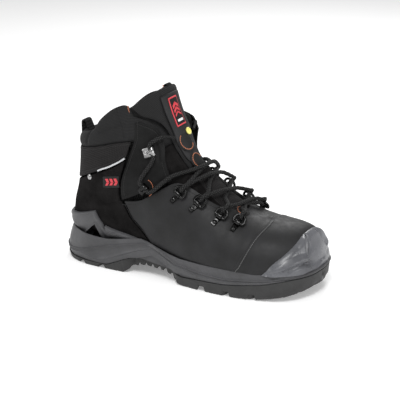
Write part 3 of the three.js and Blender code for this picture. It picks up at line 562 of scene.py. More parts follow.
# heights along the sole (x, z): ground, top of the tread, lower facet edge, ridge and rim
GROUND = [[-151, 9], [-146, 3], [-138, 0], [-64, 0], [-54, 8], [-40, 11], [-12, 9], [6, 1], [14, 0], [72, 0],
          [100, 1.2], [125, 5], [140, 9.5], [151, 14]]
TREAD_TOP = [[-151, 11], [-145, 7], [-134, 5.6], [-85, 5.4], [-72, 10.6], [-57, 17.4], [-45, 19.5],
             [-28, 25.2], [-12, 19.3], [2, 12.5], [12, 10], [31, 11.6], [62, 12.8], [102, 17.9], [120, 22],
             [136, 25.2], [151, 26]]
FACET = [[-151, 13], [-134, 11], [-119, 13], [-106, 10.3], [-96, 8.4], [-84, 11.4], [-58, 22.2], [-41, 29.2],
         [-27, 33], [-20, 31], [2, 20.8], [31, 16.5], [64, 16.4], [107, 21], [125, 24.6], [151, 26.9]]
RIDGE = [[-151, 16], [-134, 14], [-119, 16.8], [-98, 22.8], [-83, 27.4], [-55, 34.1], [-41, 37.3],
         [-30, 38.4], [-20, 34.5], [2, 24.5], [31, 20.8], [64, 19.4], [107, 23.6], [125, 26], [140, 27.3],
         [151, 27.7]]
RIM = [[-151, 37], [-137, 37], [-113, 35.8], [-98, 34.8], [-85, 34.6], [-69, 37], [-55, 40], [-41, 42.3],
       [-32, 40.6], [-22, 37], [-5, 32.2], [9, 29.6], [31, 29.2], [103, 29], [125, 28.6], [151, 28.5]]
FLOOR = [[-151, 24], [-100, 24], [-60, 21], [-30, 17], [0, 13.5], [151, 13]]  # inside the midsole
LUG_DEPTH = 5
GROOVES = [[-119, 12], [-91, 12], [33, -14], [70, 10], [104, 26]]  # x at the edge, and turn in degrees
INNER_GROOVES = [-134, -105, -77, 18, 51, 87, 121]


def waist(x):
    """1 where the sole is arched clear of the ground, 0 under heel and ball."""
    return np.clip(np.minimum((x + 62) / 8, (6 - x) / 8), 0, 1)


def box_wave(distance, half):
    return np.clip((half - np.abs(distance)) / 0.7 + 0.5, 0, 1)


def tread(x, y, middle, half):
    """How far the tread is cut away at a point of the sole's underside."""
    off = np.abs(y - middle)
    share = off / np.maximum(half, 1)
    ground = np.zeros_like(x)
    for at, turn in GROOVES:
        line = x - at - (38 - off) * math.tan(math.radians(turn)) * 1.2
        cut = np.clip((4.6 - np.abs(line)) / 1.6, 0, 1) * LUG_DEPTH
        ground = np.maximum(ground, cut * np.clip((share - 0.16) / 0.05, 0, 1))
    for at in INNER_GROOVES:
        line = x - at + 0.55 * off
        reach = np.clip((share - 0.12) / 0.05, 0, 1) * np.clip((0.74 - share) / 0.05, 0, 1)
        ground = np.maximum(ground, box_wave(line, 1.7) * reach * LUG_DEPTH * 0.8)
    zigzag = 5 * np.abs((x / 15) % 2 - 1) - 2.5
    ground = np.maximum(ground, box_wave(y - middle - zigzag, 2.1) * LUG_DEPTH)
    ribs = 3.2 * box_wave((x % 8.5) - 4.2, 2.1)
    border = np.clip((share - 0.9) / 0.06, 0, 1) * box_wave(((x / 13) % 1 - 0.5) * 13, 0.6) * 0.8
    return np.where(waist(x) > 0.3, ribs, np.maximum(ground, border * (half > 12)))


def sole_ring(levels, across):
    """Closed sections of the sole. levels is a list of (height, inset), each an array along the outline, from
    the bottom edge up the wall; across makes the (x, y, z) strips that close a section below and above."""
    sides = []
    for edge in OUTLINE:
        sides.append([np.concatenate([edge * (1 - (inset + 0 * height)[:, None] / SPREAD),
                                      height[:, None]], 1) for height, inset in levels])
    lateral, medial = sides
    below, above = across(lateral[0], medial[0]), across(lateral[-1], medial[-1])
    strips = lateral + above + medial[::-1] + below[::-1]
    return np.stack(strips, 1)


def strip_between(start, end, count, height):
    """Rows of points from start to end, without the ends, whose z comes from height(x, y, middle, half)."""
    middle, half = (start[:, 1] + end[:, 1]) / 2, np.abs(end[:, 1] - start[:, 1]) / 2
    rows = []
    for share in np.linspace(0, 1, count + 2)[1:-1]:
        row = start + (end - start) * share
        row[:, 2] = height(row[:, 0], row[:, 1], middle, half)
        rows.append(row)
    return rows


def make_outsole():
    x = OUTLINE[0][:, 0]
    top = heights(TREAD_TOP, x)
    ground = heights(GROUND, x)
    tuck = waist(x) * 6.5
    teeth = waist(x) * 0.7 * np.abs((x / 3.4) % 2 - 1)
    middle = (OUTLINE[0][:, 1] + OUTLINE[1][:, 1]) / 2
    half = (OUTLINE[1][:, 1] - OUTLINE[0][:, 1]) / 2
    notch = tread(x, middle + half * 0.97, middle, half)
    low = np.minimum(ground + notch, top - 1.6)
    levels = [(low, 3.4 + tuck), (low + 0.5, 2.6 + tuck)]
    for share in (0.15, 0.3, 0.5, 0.7, 0.85):
        levels.append((low + 0.5 + (top - low - 1.4) * share, 2.2 - 1.2 * share + tuck + teeth))
    levels += [(top - 0.9, 1.0 + tuck), (top - 0.4, 1.5 + tuck), (top - 0.4, 2.4 + tuck)]
    core = np.minimum(top, 12) - 0.6

    def across(start, end):
        if start[len(start) // 2, 2] < 4:
            return strip_between(start, end, 96, lambda a, b, m, h: np.minimum(
                heights(GROUND, a) + tread(a, b, m, h), heights(TREAD_TOP, a) - 1.6))
        return strip_between(start, end, 6, lambda a, b, m, h: np.minimum(core, heights(GROUND, a) + 12))

    rings = sole_ring(levels, across)
    piece = loft("outsole_tread", rings, "tread_rubber", "boot", sharp=32)
    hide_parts("outsole")


def make_midsole():
    x = OUTLINE[0][:, 0]
    part, facet, ridge, rim = [heights(line, x) for line in (TREAD_TOP, FACET, RIDGE, RIM)]
    facet = np.clip(facet, part + 1.2, None)
    ridge = np.clip(ridge, facet + 0.8, None)
    rim = np.clip(rim, ridge + 0.7, None)
    hollow = 0.7 + 3.0 * np.clip((ridge - facet - 2) / 10, 0, 1)
    under = 0.9 + 2.6 * np.clip((facet - part - 2) / 10, 0, 1)
    heel = 4.6 * np.clip((-112 - x) / 32, 0, 1)
    levels = [(part, 1.2 + under)]
    for share in (0.06, 0.3, 0.6, 0.85, 0.96):
        levels.append((part + (facet - part) * share, 0.5 + under * (1 - share)))
    levels.append((facet, 0.35))
    for share in (0.05, 0.15, 0.3, 0.5, 0.7, 0.85, 0.95):
        levels.append((facet + (ridge - facet) * share, 0.25 + hollow * math.sin(math.pi * share) ** 0.7))
    levels += [(ridge - 0.5, 0.1), (ridge, 0), (ridge + 0.8, 1.3)]
    for share in (0.12, 0.3, 0.5, 0.7, 0.86):
        levels.append((ridge + 0.8 + (rim - ridge - 0.8) * share, 1.35 + 0.6 * share + heel * share**1.6))
    levels += [(rim - 0.5, 1.95 + heel), (rim - 0.2, 2.1 + heel), (rim, 2.6 + heel), (rim - 0.1, 3.2 + heel),
               (rim - 1.5, 4.2 + heel)]
    floor = np.minimum(rim - 2, heights(FLOOR, x))
    levels.append((floor, 6.2 + heel))
    core = np.minimum(part, 12)

    def across(start, end):
        if np.allclose(start[:, 2], part):
            inner = strip_between(start, end, 6, lambda a, b, m, h: core)
            for row, source, target in ((inner[0], start, end), (inner[-1], end, start)):
                pull = np.clip(8.5 / np.maximum(np.linalg.norm(target - source, axis=1), 20), 0, 0.4)[:, None]
                row[:, :2] = source[:, :2] + (target - source)[:, :2] * pull
                row[:, 2] = part
            return inner
        return strip_between(start, end, 4, lambda a, b, m, h: floor)

    rings = sole_ring(levels, across)
    piece = loft("midsole_wall", rings, "sole_rubber", "boot", sharp=24)
    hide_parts("midsole")


def station_at_height(v, height, low, high):
    """t where the tube at v comes to a height, between a station above it and one below it."""
    for _ in range(30):
        middle = (low + high) / 2
        above = tube(middle, v)[..., 2] > height
        low, high = np.where(above, middle, low), np.where(above, high, middle)
    return low


def side_at_height(t, height):
    low, high = np.full(len(t), -1.0), np.full(len(t), -0.5)
    for _ in range(30):
        middle = (low + high) / 2
        below = tube(t, middle)[..., 2] < height
        low, high = np.where(below, middle, low), np.where(below, high, middle)
    return low


BUMPER_FOOT = 28.6
BUMPER_EDGE = [[3.39, -0.46], [2.62, -0.34], [2.17, -0.235], [2.02, -0.12], [1.97, 0]]
# relief of the bumper on its lateral side, folded sharply along lines: (line, width, height)
BUMPER_RELIEF = [
    ([[2.1, -0.13], [1.68, -0.22], [1.32, -0.31], [1.2, -0.37]], 6, 2.6),
    ([[1.2, -0.37], [1.98, -0.425], [2.48, -0.46], [3.3, -0.52]], 5.5, 2.6),
    ([[1.75, -0.1], [1.41, -0.139], [0.98, -0.199], [0.94, -0.354]], 3, -3.2),
    ([[3.5, -0.54], [2.48, -0.495], [1.39, -0.45], [0.6, -0.46]], 3.2, -2.2)]


def make_bumper():
    tip = float(station_at_height(-1.0, BUMPER_FOOT, np.array(0.0), np.array(1.0)))
    foot_t = tip + np.array([0.001, 0.03, 0.1, 0.25, 0.5, 0.85, 1.3, 1.8, 2.4, 3.1, 3.5])
    foot = np.stack([foot_t, side_at_height(foot_t, BUMPER_FOOT)], 1)
    foot[0, 1] = -1
    edge = across_ridge(np.vstack([spline(foot, 200), spline(np.vstack([foot[-1], BUMPER_EDGE]), 120)[1:]]))
    run = lengths(tube(edge[:, 0], edge[:, 1]), 0)
    even = np.linspace(0, run[-1], 261)[:-1]
    edge = np.stack([np.interp(even, run, edge[:, k]) for k in (0, 1)], 1)
    shares = 1 - (1 - np.linspace(0, 1, 62)[1:]) ** 1.15
    t = shares[:, None] * edge[None, :, 0]
    v = np.broadcast_to(edge[:, 1], t.shape)
    base = tube(t, v)
    upper_edge = line_on_tube(across_ridge([foot[-1].tolist()] + BUMPER_EDGE), 0, 240)
    border = distance_to(base, upper_edge)
    on_top = np.abs(v) < 0.62
    offset = 4.7 + 2.4 * np.clip((np.abs(v) - 0.3) / 0.4, 0, 1) ** 2
    offset = offset - np.where(on_top, 2.9 * (1 - np.clip(border / 6, 0, 1)) ** 1.6, 0)
    for points, width, height in BUMPER_RELIEF:
        for line, share in ((np.array(points), 1), (np.array(points) * [1, -1], 0.35)):
            near = np.clip(1 - distance_to(base, line_on_tube(line, 0, 90)) / width, 0, 1)
            offset = offset + height * share * near * np.clip(border / 3, 0, 1)
    fall = 1 - np.sqrt(1 - (1 - np.clip(border / 1.2, 0, 1)) ** 2)
    normal = outward(t, v)
    outer = base + normal * (offset - np.where(on_top, fall * 0.7, 0))[..., None]
    inner = base + normal * 1.1
    for face in (outer, inner):
        face[..., 2] = np.maximum(face[..., 2], BUMPER_FOOT)
    rows, around = t.shape
    count = rows * around
    poles = [STATIONS[0][[0, 7, 1]] + [reach, 0, 0] for reach in (5.4, 1.1)]
    vertices = np.concatenate([outer.reshape(-1, 3), inner.reshape(-1, 3), poles])
    faces = grid_faces(rows, around, wrap=True)
    faces += [f[::-1] for f in grid_faces(rows, around, wrap=True, first=count)]
    for i in range(around):
        k = (i + 1) % around
        faces += [[2 * count, k, i], [2 * count + 1, count + i, count + k]]
        last = (rows - 1) * around
        faces.append([last + i, last + k, count + last + k, count + last + i])
    piece = mesh_object("toe_bumper_cap", vertices, outward_faces(vertices, faces), "bumper_rubber",
                        "boot", sharp=35)
    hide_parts("toe_bumper")


CLIP_FOOT = 33
# x, z of the fin's low edge, then of its high edge
HEEL_FIN = [[-83, 33], [-60, 35], [-42, 38.5], [-85.5, 48.5], [-66, 44.5], [-45, 41]]


def make_heel_clip():
    v = np.array([-1, -0.95, -0.9, -0.86])
    foot = np.stack([station_at_height(v, CLIP_FOOT, np.full(4, 12.6), np.full(4, 11.0)), v], 1)
    low = round_back(np.vstack([foot, [[11.42, -0.862], [11.5, -0.836], [11.38, -0.716], [11.02, -0.765],
                                       [10.68, -0.82]]]))
    high = round_back([[12.78, -1], [12.7, -0.93], [12.6, -0.86], [12.42, -0.775], [11.74, -0.652],
                       [11.48, -0.672], [11.2, -0.692], [10.64, -0.757]])

    def outer(t, v, a, b):
        near_back = np.clip((np.abs((v + 1) % 2 - 1) - 0.74) / 0.1, 0, 1)
        return 4.0 + 6.2 * (1 - b) ** 1.3 * near_back

    def relief(t, v, base, border):
        return -0.8 * np.clip((border - 3) / 1.2, 0, 1)

    piece = skin("heel_clip_rubber", Region(low, high), 0.9, outer, "sole_rubber", 26, 220,
                 edge=1.3, close=0.02, relief=relief, sharp=32)
    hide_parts("heel_clip")

    def fin_ribs(t, v, base, border):
        return 0.4 * np.sin((base[..., 2] + 0.25 * base[..., 0]) * 2.4) * (border > 1.3)

    for name, side in SIDES.items():
        corners = [tv_at(x, z, side) for x, z in HEEL_FIN]
        skin(f"heel_fin_{name}", Region(corners[:3], corners[3:]), 0.3, lambda t, v, a, b: 2.6 + 1.6 * b,
             "sole_rubber", 22, 60, edge=0.9, relief=fin_ribs, sharp=28)


# ---- panels of the upper ----
OVERLAY_SEAM = [[5.5, -0.75], [5.42, -0.58], [4.94, -0.385], [4.66, -0.255], [4.4, -0.125], [4.45, 0]]
EYESTAY_EDGE = [[6.35, 0], [6.75, -0.1], [7.6, -0.165], [8.6, -0.2], [9.5, -0.235], [10.05, -0.28],
                [10.4, -0.375], [10.7, -0.47], [11.2, -0.53]]
DIAGONAL = [[9.05, -0.75], [9.35, -0.68], [9.8, -0.62], [10.35, -0.585], [10.83, -0.55], [11.2, -0.53]]
BAND_SEAM = [[14.45, -1], [14.3, -0.86], [14.1, -0.75], [13.78, -0.65], [13.4, -0.56], [13.15, -0.49],
             [13.1, -0.425]]
COLLAR_SEAM = [[16.05, -1], [15.85, -0.86], [15.45, -0.72], [15, -0.62], [14.55, -0.53], [14.1, -0.445],
               [13.75, -0.385]]
COLLAR_TOP = [[16.75, -1], [16.6, -0.86], [16.25, -0.7], [16.12, -0.64], [16.35, -0.59], [16.42, -0.5],
              [16.22, -0.41], [15.9, -0.365]]
FACING_REAR = [[14.7, -0.34], [13.7, -0.36], [13, -0.4], [12.2, -0.455], [11.3, -0.53]]
FACING_FRONT = [[14.6, -0.31], [13.38, -0.215], [12.2, -0.205], [11.2, -0.25], [10.25, -0.28]]
TONGUE_EDGE = [[9.98, -0.14], [11.3, -0.15], [12.13, -0.15], [12.85, -0.155], [13.58, -0.18], [14.18, -0.225],
               [14.83, -0.29], [15.75, -0.345]]


def on_side(line, side):
    """A line drawn on the lateral side, moved to the medial side if side is +1."""
    return np.asarray(line, float) * [1, -side]


TONGUE_TURN = -0.028
LABEL_MIDDLE = 1.5 * TONGUE_TURN


def tongue_face(t):
    return np.minimum(-1.8 + np.maximum(np.asarray(t, float) - 10.6, 0) * 2.4, 3)


def over_tongue(extra):
    return lambda t, v, a, b: tongue_face(t) + extra


def ridge_bumps(t, v, base, border):
    """The two raised ends of the seam on the toe."""
    return 1.6 * bell(np.linalg.norm(base - tube(4.62, 0.0), axis=-1), 5)


def folds(lines, height=0.8, width=3.2):
    """A relief of soft folds along lines drawn for the lateral side and mirrored."""
    ready = [line_on_tube(on_side(line, side), 0, 50) for line in lines for side in (-1, 1)]

    def relief(t, v, base, border):
        return sum(height * bell(distance_to(base, line), width) for line in ready)

    return relief


def make_vamp():
    low = across_ridge(spline(OVERLAY_SEAM) + [0.02, 0])
    high = across_ridge(np.vstack([spline(DIAGONAL, 60), spline(EYESTAY_EDGE[::-1], 100)[1:]]))
    left = spline([[5.5, -0.75], [7.2, -0.75], [9.05, -0.75]], 30)
    piece = skin("vamp_panel", Region(low, high, left, left * [1, -1]), -0.6, 1.5, "smooth_leather",
                 90, 230, edge=1.0, close=0.006,
                 relief=lambda t, v, base, border: ridge_bumps(t, v, base, border) * 0.8 + crease(t, v))
    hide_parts("vamp")


def crease(t, v):
    """Shallow wear creases where the forefoot bends."""
    wave = np.sin(6.2 * t + 5.1 * np.abs(v)) + 0.6 * np.sin(11.3 * t - 3.7 * np.abs(v) + 1)
    return 0.1 * wave * np.exp(-((t - 6.3) / 1.2) ** 2) * np.clip((np.abs(v) - 0.1) / 0.1, 0, 1)


def make_toe_overlay():
    front = across_ridge(spline([[2.9, -0.75], [2.9, -0.6], [2.5, -0.46], [1.9, -0.34], [1.5, -0.17],
                                 [1.45, 0]]))
    seam = across_ridge(spline(OVERLAY_SEAM) + [0.1, 0])
    piece = skin("toe_overlay_panel", Region(front, seam), -0.8, 2.0, "smooth_leather",
                 60, 200, edge=1.2, close=0.006, relief=ridge_bumps)
    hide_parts("toe_overlay")


def make_quarters():
    low = spline([[11.75, -1], [11.4, -0.93], [10.9, -0.87], [10.2, -0.82], [9.2, -0.77]])
    high = spline([[14.37, -1]] + (np.array(BAND_SEAM[1:]) - [0.08, 0]).tolist())
    right = spline((np.array(DIAGONAL) + [0.1, -0.012]).tolist()
                   + [[11.35, -0.545], [12.2, -0.475], [13.0, -0.43]])
    relief = folds([[[12.32, -0.571], [11.76, -0.52], [11.3, -0.545]],
                    [[11.9, -0.66], [11.2, -0.61], [10.7, -0.64]],
                    [[12.9, -0.5], [12.5, -0.54], [12.1, -0.6]]], 0.5, 3)
    for name, side in SIDES.items():
        region = Region(on_side(low, side), on_side(high, side), on_side([low[0], high[0]], side),
                        on_side(right, side))
        piece = skin(f"quarter_panel_{name}", region, -1, 0.55, "nubuck", 70, 90, relief=relief)
        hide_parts(f"quarter_{name}")


def make_collar_band():
    low, high = round_back(spline(BAND_SEAM)), round_back(spline(COLLAR_SEAM) + [0.03, 0])
    line = line_on_tube(np.array([[15.3, -0.86], [14.9, -0.75], [14.45, -0.64], [14.02, -0.545]]), 0, 60)

    def relief(t, v, base, border):
        return -0.55 * bell(distance_to(base, line), 0.8)

    piece = skin("collar_band_panel", Region(low, high), -1, 0.95, "textile", 26, 260,
                 close=0.006, relief=relief)
    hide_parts("collar_band")


FLARE = [[10.4, 0], [11.3, 8], [12.2, 14], [13.2, 13], [14.4, 5], [15.4, 0]]  # (t, mm)


def flare(t, v):
    """How far the medial facing and collar stand open beside the tongue, in mm."""
    turn = (np.asarray(v, float) + 1) % 2 - 1
    rise = heights(FLARE, t)
    side = np.clip((0.44 - turn) / 0.22, 0, 1)
    return np.where(turn > 0, rise * side**2 * (3 - 2 * side), 0)


def flared(offset, share=1):
    return lambda t, v, a, b: offset + share * flare(t, v)


def make_facings():
    pleats = [line_on_tube(line, 0, 40) for line in (
        [[12.9, -0.266], [12.2, -0.262], [11.6, -0.285]], [[12.9, -0.238], [12.2, -0.231], [11.5, -0.256]])]

    def relief(t, v, base, border):
        pleat = sum(1.3 * bell(distance_to(base, line), 1.5) for line in pleats)
        return pleat - 0.4 * bell(border - 3.2, 0.6)

    for name, side in SIDES.items():
        front = on_side(spline(FACING_FRONT), side)
        rear = on_side(spline(FACING_REAR), side)
        piece = skin(f"eyelet_facing_{name}", Region(rear, front), flared(0.7), flared(2.6),
                     "facing_leather", 40, 90, edge=1.1, relief=relief)
        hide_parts(f"facing_{name}")


def make_gussets():
    outer = spline([[7, -0.24], [8.4, -0.29], [10, -0.31], [11.9, -0.29]])
    inner = spline([[7, -0.142], [9, -0.142], [10, -0.15], [12, -0.16]])
    relief = folds([[[12.0, -0.2], [11.71, -0.19], [11.3, -0.26], [11.08, -0.29]],
                    [[10.9, -0.2], [10.66, -0.26], [10.28, -0.27]], [[9.9, -0.19], [9.6, -0.26]],
                    [[9.0, -0.19], [8.7, -0.26]]], 1.2, 2.4)
    for name, side in SIDES.items():
        region = Region(on_side(outer, side), on_side(inner, side))
        piece = skin(f"gusset_fold_{name}", region, -2.6, -1.2, "nubuck", 26, 110, edge=0.6,
                     relief=relief)
        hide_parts(f"gusset_{name}")


def make_bellows():
    """The dark cloth between the tongue and the shaft, behind the facing."""
    outer = spline([[11.2, -0.33], [13, -0.37], [14.6, -0.42], [15.85, -0.47]])
    inner = spline([[11.2, -0.14], [13, -0.15], [14.4, -0.19], [15.7, -0.28]])
    relief = folds([[[15, -0.3], [13.5, -0.24], [12.3, -0.25]],
                    [[14.4, -0.34], [13.2, -0.3], [11.9, -0.3]]], 1.2, 3)
    for name, side in SIDES.items():
        region = Region(on_side(outer, side), on_side(inner, side))
        skin(f"tongue_bellows_{name}", region, flared(-5.0, 0.5), flared(-4.1, 0.5), "padded_textile",
             24, 70, edge=0.5, relief=relief)


def make_tongue_base():
    edge = spline([[6.15, -0.06], [6.7, -0.13], [7.6, -0.15], [8.7, -0.15], [9.82, -0.14]])
    relief = folds([[[7.0, -0.09], [8.5, -0.1], [9.7, -0.1]]], 0.4, 1.2)
    piece = skin("tongue_base_panel", Region(edge, edge * [1, -1]), -5.8, -1.9, "textile",
                 40, 110, edge=1.6, relief=relief)
    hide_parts("tongue_base")


class Sock:
    """The lining's own shape: slit along the ridge, open over the tongue, its top following the collar."""
    foot = 0.4

    def at(self, a, b):
        slit = np.clip(0.006 + np.maximum(self.foot + 12.3 * b - 5.3, 0) * 0.2, 0, 0.31)
        v = slit + (2 - 2 * slit) * a
        turn = np.where(v > 1, 2 - v, v)
        top = np.interp(turn, [0.3, 0.385, 0.53, 0.72, 1], [12.7, 13.4, 14.25, 15.15, 15.75])
        return np.stack([self.foot + (top - self.foot) * b, v], -1)


def make_lining():
    piece = skin("lining_sock", Sock(), -5.65, -4.55, "lining_mesh", 110, 110, edge=0.5,
                 close=0.01)
    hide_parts("lining")


# ---- padded collar and tongue ----
PAD_EDGE = 4.5  # mm over which a pad's edge is rounded
PAD_RIM = 0.12  # a pad's thickness at its very edge, as a share


def pillow(name, region, inner, outer, look, rows, columns, body="boot", relief=None):
    """A closed padded body: both faces bulge from a shared edge."""
    place, base, normal, uv, border = patch(region, spaced(columns, 0.02), spaced(rows, 0.06))
    low, high = inner(*place), outer(*place)
    middle = (low + high) / 2
    full = PAD_RIM + (1 - PAD_RIM) * np.sqrt(1 - (1 - np.clip(border / PAD_EDGE, 0, 1)) ** 2)
    extra = relief(*place[:2], base, border) if relief else 0
    top = middle + (high - middle) * full + extra * np.clip(border / 2, 0, 1)
    bottom = middle + (low - middle) * full
    return shell(name, base + normal * top[..., None], base + normal * bottom[..., None], uv, look, body,
                 60)


def swell(b):
    return np.sin(np.pi * np.clip(b, 0, 1)) ** 0.6


def make_collar():
    low = round_back(np.vstack([spline(COLLAR_SEAM), spline([[13.1, -0.31], [12.5, -0.235]], 10)]))
    high = round_back(np.vstack([spline(COLLAR_TOP),
                                 spline([[15.1, -0.345], [14.3, -0.262], [13.4, -0.205]], 20)]))
    quilts = [line_on_tube(on_side(line, side), 0, 60) for side in (-1, 1) for line in (
        [[16.1, -0.665], [15.62, -0.7]], [[16.25, -0.455], [15.2, -0.43], [14.3, -0.42]],
        [[15.6, -0.585], [15.3, -0.49], [15.0, -0.4]])]

    def relief(t, v, base, border):
        return sum(-1.1 * bell(distance_to(base, line), 1.6) for line in quilts)

    piece = pillow("collar_padding", Region(low, high), lambda t, v, a, b: flare(t, v) - 2.6 - 6.4 * swell(b),
                   lambda t, v, a, b: flare(t, v) - 1.6 + 3.4 * swell(b), "padded_textile",
                   34, 300, relief=relief)
    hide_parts("collar_pad")


def make_tongue():
    edge = spline(TONGUE_EDGE)
    seam = [[15.4, -0.13], [14.4, -0.135], [13.45, -0.128], [12.2, -0.108]]
    seams = [line_on_tube(on_side(seam, side), 0, 80) for side in (-1, 1)]

    def relief(t, v, base, border):
        return sum(-1.2 * bell(distance_to(base, line), 1.5) for line in seams)

    piece = pillow("tongue_padding", Region(edge, edge * [1, -1]),
                   lambda t, v, a, b: tongue_face(t) - 3 - 4 * swell(b),
                   lambda t, v, a, b: tongue_face(t) - 1.2 + 1.7 * swell(b), "padded_textile",
                   60, 130, body="tongue", relief=relief)
    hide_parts("tongue_top")
    strap = spline([[10.1, -0.06], [10.6, -0.09], [11.6, -0.1], [13, -0.1], [15.25, -0.115]])
    region = Region(strap + [0, TONGUE_TURN], strap * [1, -1] + [0, TONGUE_TURN])
    piece = skin("tongue_strap_panel", region, over_tongue(0.4), over_tongue(1.9), "smooth_leather",
                 30, 100, edge=1.2, body="tongue",
                 relief=lambda t, v, base, border: -0.35 * bell(border - 2.4, 0.5))
    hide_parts("tongue_strap")


LABEL_MARKS = (  # name, t at the middle, half its height, half its width, how far its middle is raised, look
    ("chevron_high", 14.2, 0.13, 0.03, 0.24, "red_trim"),
    ("chevron_middle", 13.86, 0.11, 0.03, 0.24, "red_trim"),
    ("chevron_low", 13.55, 0.08, 0.03, 0.24, "red_trim"), ("bar", 13.15, 0.09, 0.027, 0, "white_trim"))


def label_region(low, high, left, right, lean=0.0):
    """From t low to high, between two distances from the label's middle line; lean moves one edge up."""
    left, right = LABEL_MIDDLE + left, LABEL_MIDDLE + right
    return Region([[low, left], [high, left]], [[low + lean, right], [high + lean, right]])


def make_label():
    piece = skin("tongue_label_frame", label_region(12.75, 14.95, -0.0475, 0.0475), over_tongue(2.05),
                 over_tongue(2.9), "red_trim", 26, 40, edge=0.5, body="tongue")
    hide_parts("tongue_label")
    skin("tongue_label_field", label_region(12.85, 14.85, -0.0415, 0.0415), over_tongue(2.6),
         over_tongue(3.05), "coated_leather", 24, 34, edge=0.4, body="tongue")
    for name, t, half, wide, lean, look in LABEL_MARKS:
        for k, side in enumerate((-1, 1)):
            region = label_region(t - half, t + half, side * wide, side * 0.001, lean)
            skin(f"tongue_label_{name}_{k}", region, over_tongue(2.95), over_tongue(3.3), look,
                 8, 8, edge=0.3, body="tongue")


# ---- small parts ----
def disc_ring(count, radius):
    turn = np.linspace(0, 2 * np.pi, count, endpoint=False)
    return np.stack([np.cos(turn) * radius, np.sin(turn) * radius], 1)


def turned(name, place, axes, profile, look, body):
    """A body turned about a local Z axis. profile is (radius, height), from the bottom centre to the top."""
    x, y, z = axes
    sections = []
    for radius, height in profile:
        ring = disc_ring(40, max(radius, 0.01))
        sections.append(place + ring[:, :1] * x + ring[:, 1:] * y + height * z)
    return loft(name, sections, look, body, sharp=40)


def frame_on(t, v, offset, tilt=0.0):
    """A place on the tube: its position, then unit axes along, towards the tongue, and outwards."""
    z = outward(t, v)
    x = along(t, v) * (1 if v >= 0 else -1)
    y = unit(np.cross(z, x))
    cos, sin = math.cos(math.radians(tilt)), math.sin(math.radians(tilt))
    return lifted(t, v, offset), (x, y * cos + z * sin, z * cos - y * sin)


def placed(spot, x, y, z):
    place, axes = spot
    return place + x * axes[0] + y * axes[1] + z * axes[2]


def wire(name, path, radius, look, body, normals, closed=False):
    sections = ring_sections(path, normals, disc_ring(14, radius), closed)
    return loft(name, sections, look, body, closed=closed, sharp=60)


RING_SPOTS = [[6.13, 0.195], [7.2, 0.228], [8.47, 0.26], [9.5, 0.305]]
LOCK_SPOT = [10.95, 0.405]
TOP_SPOT = [12.38, 0.285]
RING_HALF = 6
RING_DEPTH = 9.5
RING_TILT = 16
RING_LIFT = 4.25
WIRE = 1.4
BARREL = 2.85
BRACKET = 1.3
HOOK_NECK = 3.6
HOOK_CHANNEL = 4.9
LACE = 4
TURN = 3.8
OVER_TONGUE = 0.6


def rounded_loop(corners, radius, parts=8):
    """A closed polyline with its corners cut round."""
    corners = np.asarray(corners, float)
    points = []
    for before, here, after in zip(np.roll(corners, 1, 0), corners, np.roll(corners, -1, 0)):
        a, b = unit(before - here), unit(after - here)
        start, end = here + a * radius, here + b * radius
        for w in np.linspace(0, 1, parts):
            points.append(start * (1 - w) ** 2 + here * 2 * w * (1 - w) + end * w**2)
    return np.array(points)


def make_rings():
    turn = np.linspace(0, np.pi, 30)
    arc = np.stack([RING_HALF * np.cos(turn), 3.5 + RING_HALF * np.sin(turn)], 1)
    outline = np.vstack([arc, rounded_loop([[-6, 3], [-6, 0], [6, 0], [6, 3]], 1.4)[8:24]])
    for name, side in SIDES.items():
        for i, (t, v) in enumerate(RING_SPOTS):
            spot = frame_on(t, side * v, RING_LIFT, RING_TILT)
            path = [placed(spot, x, y, 0) for x, y in outline]
            normals = np.repeat(spot[1][2][None], len(path), 0)
            piece = wire(f"d_ring_{name}_{i + 1}", path, WIRE, "dark_metal", f"ring_{name}_{i + 1}",
                         normals, closed=True)
            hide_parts(f"lace_ring_{name}_{i + 1}")
            make_bracket(f"{name}_{i + 1}", frame_on(t, side * v, RING_LIFT))


def make_bracket(name, spot):
    """A sheet metal strip folded round the ring's bar, with a domed rivet at its foot."""
    turn = np.radians(np.linspace(-90, 165, 22))
    curl = np.stack([np.cos(turn) * BARREL, np.sin(turn) * BARREL], 1)
    inner = curl * ((BARREL - 0.95) / BARREL)
    foot = np.array([[-11, -BARREL + 0.15], [-9, -BARREL]])
    upper = np.array([[-9, -BARREL + BRACKET], [-11, -BARREL + BRACKET - 0.3]])
    profile = np.vstack([foot, curl, inner[::-1], upper])
    across = [(-1, 0.25), (-0.97, 0.1), (-0.9, 0), (0.9, 0), (0.97, 0.1), (1, 0.25)]
    sections = []
    for share, shrink in across:
        width = np.where(profile[:, 0] < -8, 2.4, 3.2) * share
        centre = profile.mean(0)
        body = profile + unit(centre - profile) * shrink
        sections.append([placed(spot, w, y, z) for w, (y, z) in zip(width, body)])
    piece = loft(f"bracket_strip_{name}", sections, "dark_metal", "boot", sharp=45)
    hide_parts(f"ring_bracket_{name}")
    place = placed(spot, 0, -7.6, -BARREL + BRACKET - 0.1)
    dome = [(0.01, 0), (2.5, 0), (2.5, 0.3), (2.2, 0.75), (1.5, 1.15), (0.8, 1.32), (0.01, 1.36)]
    turned(f"bracket_rivet_{name}", place, spot[1], dome, "dark_metal", "boot")


HOOK_LIFT = 3.2
HOOKS = (("lock_hook", LOCK_SPOT, "dark_metal", 1.15), ("top_hook", TOP_SPOT, "bright_metal", 1.6))
HOOK_EDGE = ((0.5, 0), (0.85, 0), (0.96, 0.08), (1, 0.25))  # shares of the width, and how far the strip thins


